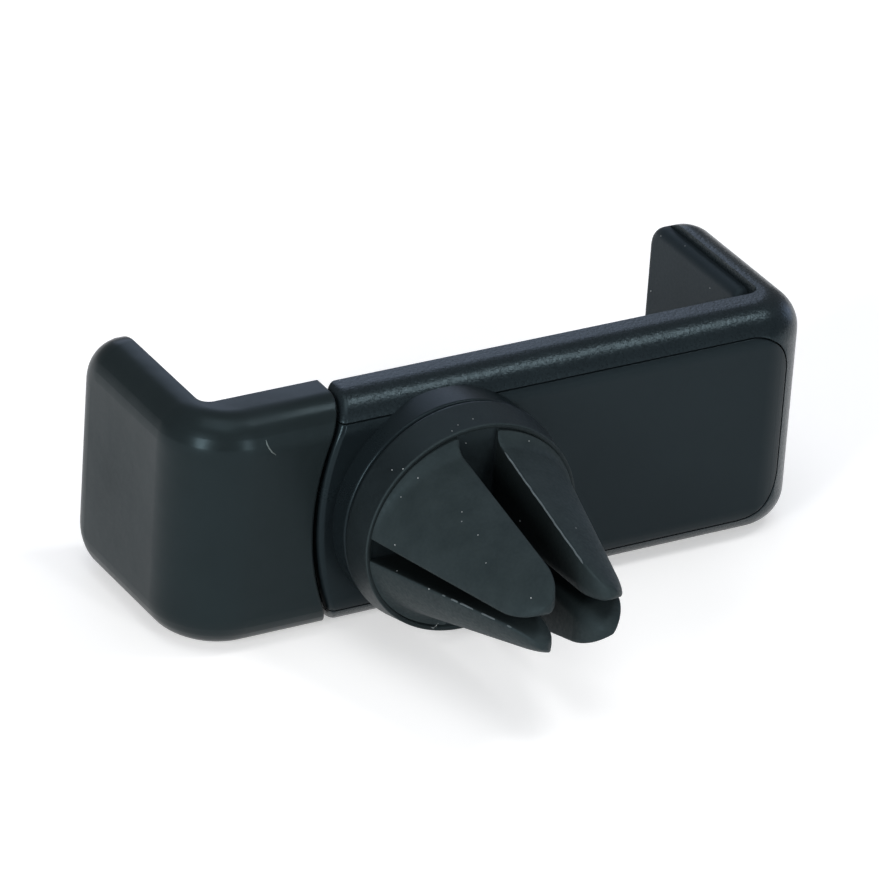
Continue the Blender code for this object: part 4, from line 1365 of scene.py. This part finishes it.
@dataclass
class Flash:
    """Wavy thin flash left along one edge of a prong."""

    prong: Prong
    name: str
    corner: int
    start: float
    end: float
    finish: bpy.types.Material
    radius: float = 0.08 * MM
    wander: float = 0.18 * MM
    steps: int = 46

    def build(self) -> bpy.types.Object:
        """Make the flash.

        Returns:
            The dressed piece.
        """
        path = []
        for step in range(self.steps + 1):
            share = between(self.start, self.end, step / self.steps)
            x, z = self.prong.section(share)[self.corner]
            wave = self.wander * (0.3 + noise.noise(Vector((share * 24.0, self.corner, 0.5))))
            lean = self.prong.lean * share
            path.append(Vector((self.prong.sign_x * (x - wave), self.prong.rim_y - self.prong.length * share,
                                self.prong.sign_z * (z + wave) + lean)))
        return Thread(self.name, path, self.radius, self.finish, "clip_tpe", "clip").build()


# Studio


@dataclass(frozen=True)
class Softbox:
    """Flat lamp that faces the holder, square unless it has a height of its own."""

    name: str
    place: tuple[float, float, float]
    width: float
    power: float
    colour: str = "#ffffff"
    height: float = 0.0

    def build(self) -> bpy.types.Object:
        """Make the lamp.

        Returns:
            The lamp object.
        """
        data = bpy.data.lights.new(self.name, "AREA")
        data.shape = "RECTANGLE"
        data.size = self.width
        data.size_y = self.height or self.width
        data.energy = self.power
        data.color = linear(self.colour)[:3]
        lamp = bpy.data.objects.new(self.name, data)
        bpy.context.scene.collection.objects.link(lamp)
        lamp.location = self.place
        lamp.rotation_mode = "QUATERNION"
        lamp.rotation_quaternion = (-Vector(self.place)).to_track_quat("-Z", "Y")
        return lamp


@dataclass(frozen=True)
class Studio:
    """White sweep, a pale room and soft lamps at a plain level."""

    floor_z: float = -11.80 * MM
    floor_size: float = 3.0
    floor_colour: str = "#e4e4e4"
    room_colour: str = "#f4f8ff"
    glow: float = 0.44
    room_level: float = 0.22
    lamps: tuple[Softbox, ...] = (
        Softbox("softbox_top", (-0.08, -0.08, 0.62), 0.40, 1.1),
        Softbox("softbox_key", (0.30, -0.09, 0.55), 0.13, 0.7),
        Softbox("softbox_left", (-0.60, -0.33, 0.21), 0.15, 3.6, height=0.42),
        Softbox("softbox_front", (0.11, -0.67, 0.21), 0.10, 1.4, height=0.40),
        Softbox("softbox_back", (0.25, 0.64, 0.36), 0.40, 0.75, "#d4e2ff"),
        Softbox("softbox_right", (0.70, 0.15, 0.12), 0.30, 0.4, "#c8dcff"),
    )

    def build(self) -> None:
        """Make the floor, the room light and the lamps."""
        bm = bmesh.new()
        place = Matrix.Translation((0, 0, self.floor_z))
        bmesh.ops.create_grid(bm, x_segments=1, y_segments=1, size=self.floor_size / 2, matrix=place)
        floor = new_mesh_object("studio_floor", bm)
        floor.data.materials.append(self.sweep())
        world = bpy.data.worlds.new("room")
        world.use_nodes = True
        room = world.node_tree.nodes["Background"]
        room.inputs["Color"].default_value = linear(self.room_colour)
        room.inputs["Strength"].default_value = self.room_level
        bpy.context.scene.world = world
        bpy.context.scene.view_settings.view_transform = "Standard"
        for lamp in self.lamps:
            lamp.build()

    def sweep(self) -> bpy.types.Material:
        """Matt paper sweep that shows as white where nothing shades it.

        Returns:
            The floor's material.
        """
        material = bpy.data.materials.new("matt_paper_sweep")
        material.use_nodes = True
        tree = material.node_tree
        tree.nodes.clear()
        paper = add_node(tree, "ShaderNodeBsdfDiffuse", {"Color": linear(self.floor_colour)})
        rays = add_node(tree, "ShaderNodeLightPath")
        seen = add_node(tree, "ShaderNodeMath", {"operation": "MAXIMUM"},
                        {0: rays.outputs["Is Camera Ray"], 1: rays.outputs["Is Glossy Ray"]})
        through = add_node(tree, "ShaderNodeMath", {"operation": "MAXIMUM"},
                           {0: seen.outputs["Value"], 1: rays.outputs["Is Transmission Ray"]})
        glow = add_node(tree, "ShaderNodeMath", {"operation": "MULTIPLY", 1: self.glow}, {0: through.outputs["Value"]})
        light = add_node(tree, "ShaderNodeEmission", {}, {"Strength": glow.outputs["Value"]})
        both = add_node(tree, "ShaderNodeAddShader", {}, {0: paper.outputs["BSDF"], 1: light.outputs["Emission"]})
        add_node(tree, "ShaderNodeOutputMaterial", {}, {"Surface": both.outputs["Shader"]})
        return material


def refinish(frame: dict, finish: bpy.types.Material, *nodes: str) -> None:
    """Give CAD nodes that keep their shape a better material.

    Args:
        finish: The material.
        nodes: Names of the nodes.
    """
    for name in nodes:
        for slot in frame["nodes"][name].material_slots:
            slot.material = finish
        LOG.info("%s: finished in %s", name, finish.name)


def main() -> None:
    """Build the holder over its frame, then the camera and the studio."""
    logging.basicConfig(level=logging.INFO, format="%(message)s")
    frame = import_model()
    size = Holder()
    pad_finish = PAD_TPE.build()
    steel, nylon = STEEL.build(), HUB_NYLON.build()

    BodyShell(size, BODY_ABS.build()).build()
    BackCover(size, COVER_ABS.build()).build()
    jaw = SlidingJaw(size, JAW_ABS.build()).build()
    fixed_inner = size.fixed_reach - size.jaw_thickness
    sliding_inner = -size.sliding_reach + size.jaw_thickness
    Pad("strip_pad", "front_pad", "holder", front_pad_outline(size), Axis.Y, -1.0 * MM, 0.0, 0.3 * MM,
        pad_finish).build()
    Pad("jaw_strip_pad", "slide_front_pad", "jaw", slide_pad_outline(size), Axis.Y, -0.6 * MM, 0.0, 0.2 * MM,
        pad_finish).build()
    grip = Pad("fixed_grip_pad", "fixed_jaw_pad", "holder", jaw_pad_outline(size), Axis.X, fixed_inner + 0.3 * MM,
               fixed_inner - 1.3 * MM, 1.1 * MM, pad_finish).build()
    Pad("sliding_grip_pad", "sliding_jaw_pad", "jaw", jaw_pad_outline(size), Axis.X, sliding_inner - 0.3 * MM,
        sliding_inner + 1.3 * MM, 1.1 * MM, pad_finish).build()
    # The slots' finish paints the shade that falls inside the slots
    clip = ClipHead(BASE_TPE.build(), PRONG_TPE.build(), SLOT_SHADE_TPE.build()).build()
    refinish(frame, steel, "spring_upper", "spring_lower", "slide_pin", "frame_pin", "cover_screw_1",
             "cover_screw_2", "cover_screw_3", "cover_screw_4", "pivot_washer", "pivot_screw")
    refinish(frame, nylon, "clip_core", "friction_washer")

    camera = PhotoCamera()
    camera.build()
    Studio().build()
    # The flash's pale finish is a painted highlight along the prongs' edges
    flash, lint = FLASH_HIGHLIGHT_TPE.build(), LINT.build()
    Flash(Prong(1, 1), "flash_upper_prong", -3, 0.08, 0.86, flash).build()
    Flash(Prong(-1, -1), "flash_lower_prong", 7, 0.45, 0.88, flash).build()
    on_clip = Marks(clip, "clip", "clip_tpe", camera)
    on_clip.dust("dust_on_clip", CLIP_DUST, 0.055 * MM, lint)
    on_clip.thread("lint_on_clip", CLIP_LINT, 0.03 * MM, 0.03 * MM, lint)
    Marks(grip, "holder", "pad_tpe", camera).dust("dust_on_grip_pad", PAD_DUST, 0.06 * MM, lint)
    # A thin pale thread on the jaw's fillet: a painted highlight
    Marks(jaw, "jaw", "shell_abs", camera).thread("painted_highlight_line_on_jaw", JAW_HIGHLIGHT_LINE, 0.07 * MM, 0.0, HIGHLIGHT_LINE_ABS.build())


if __name__ == "__main__":
    main()
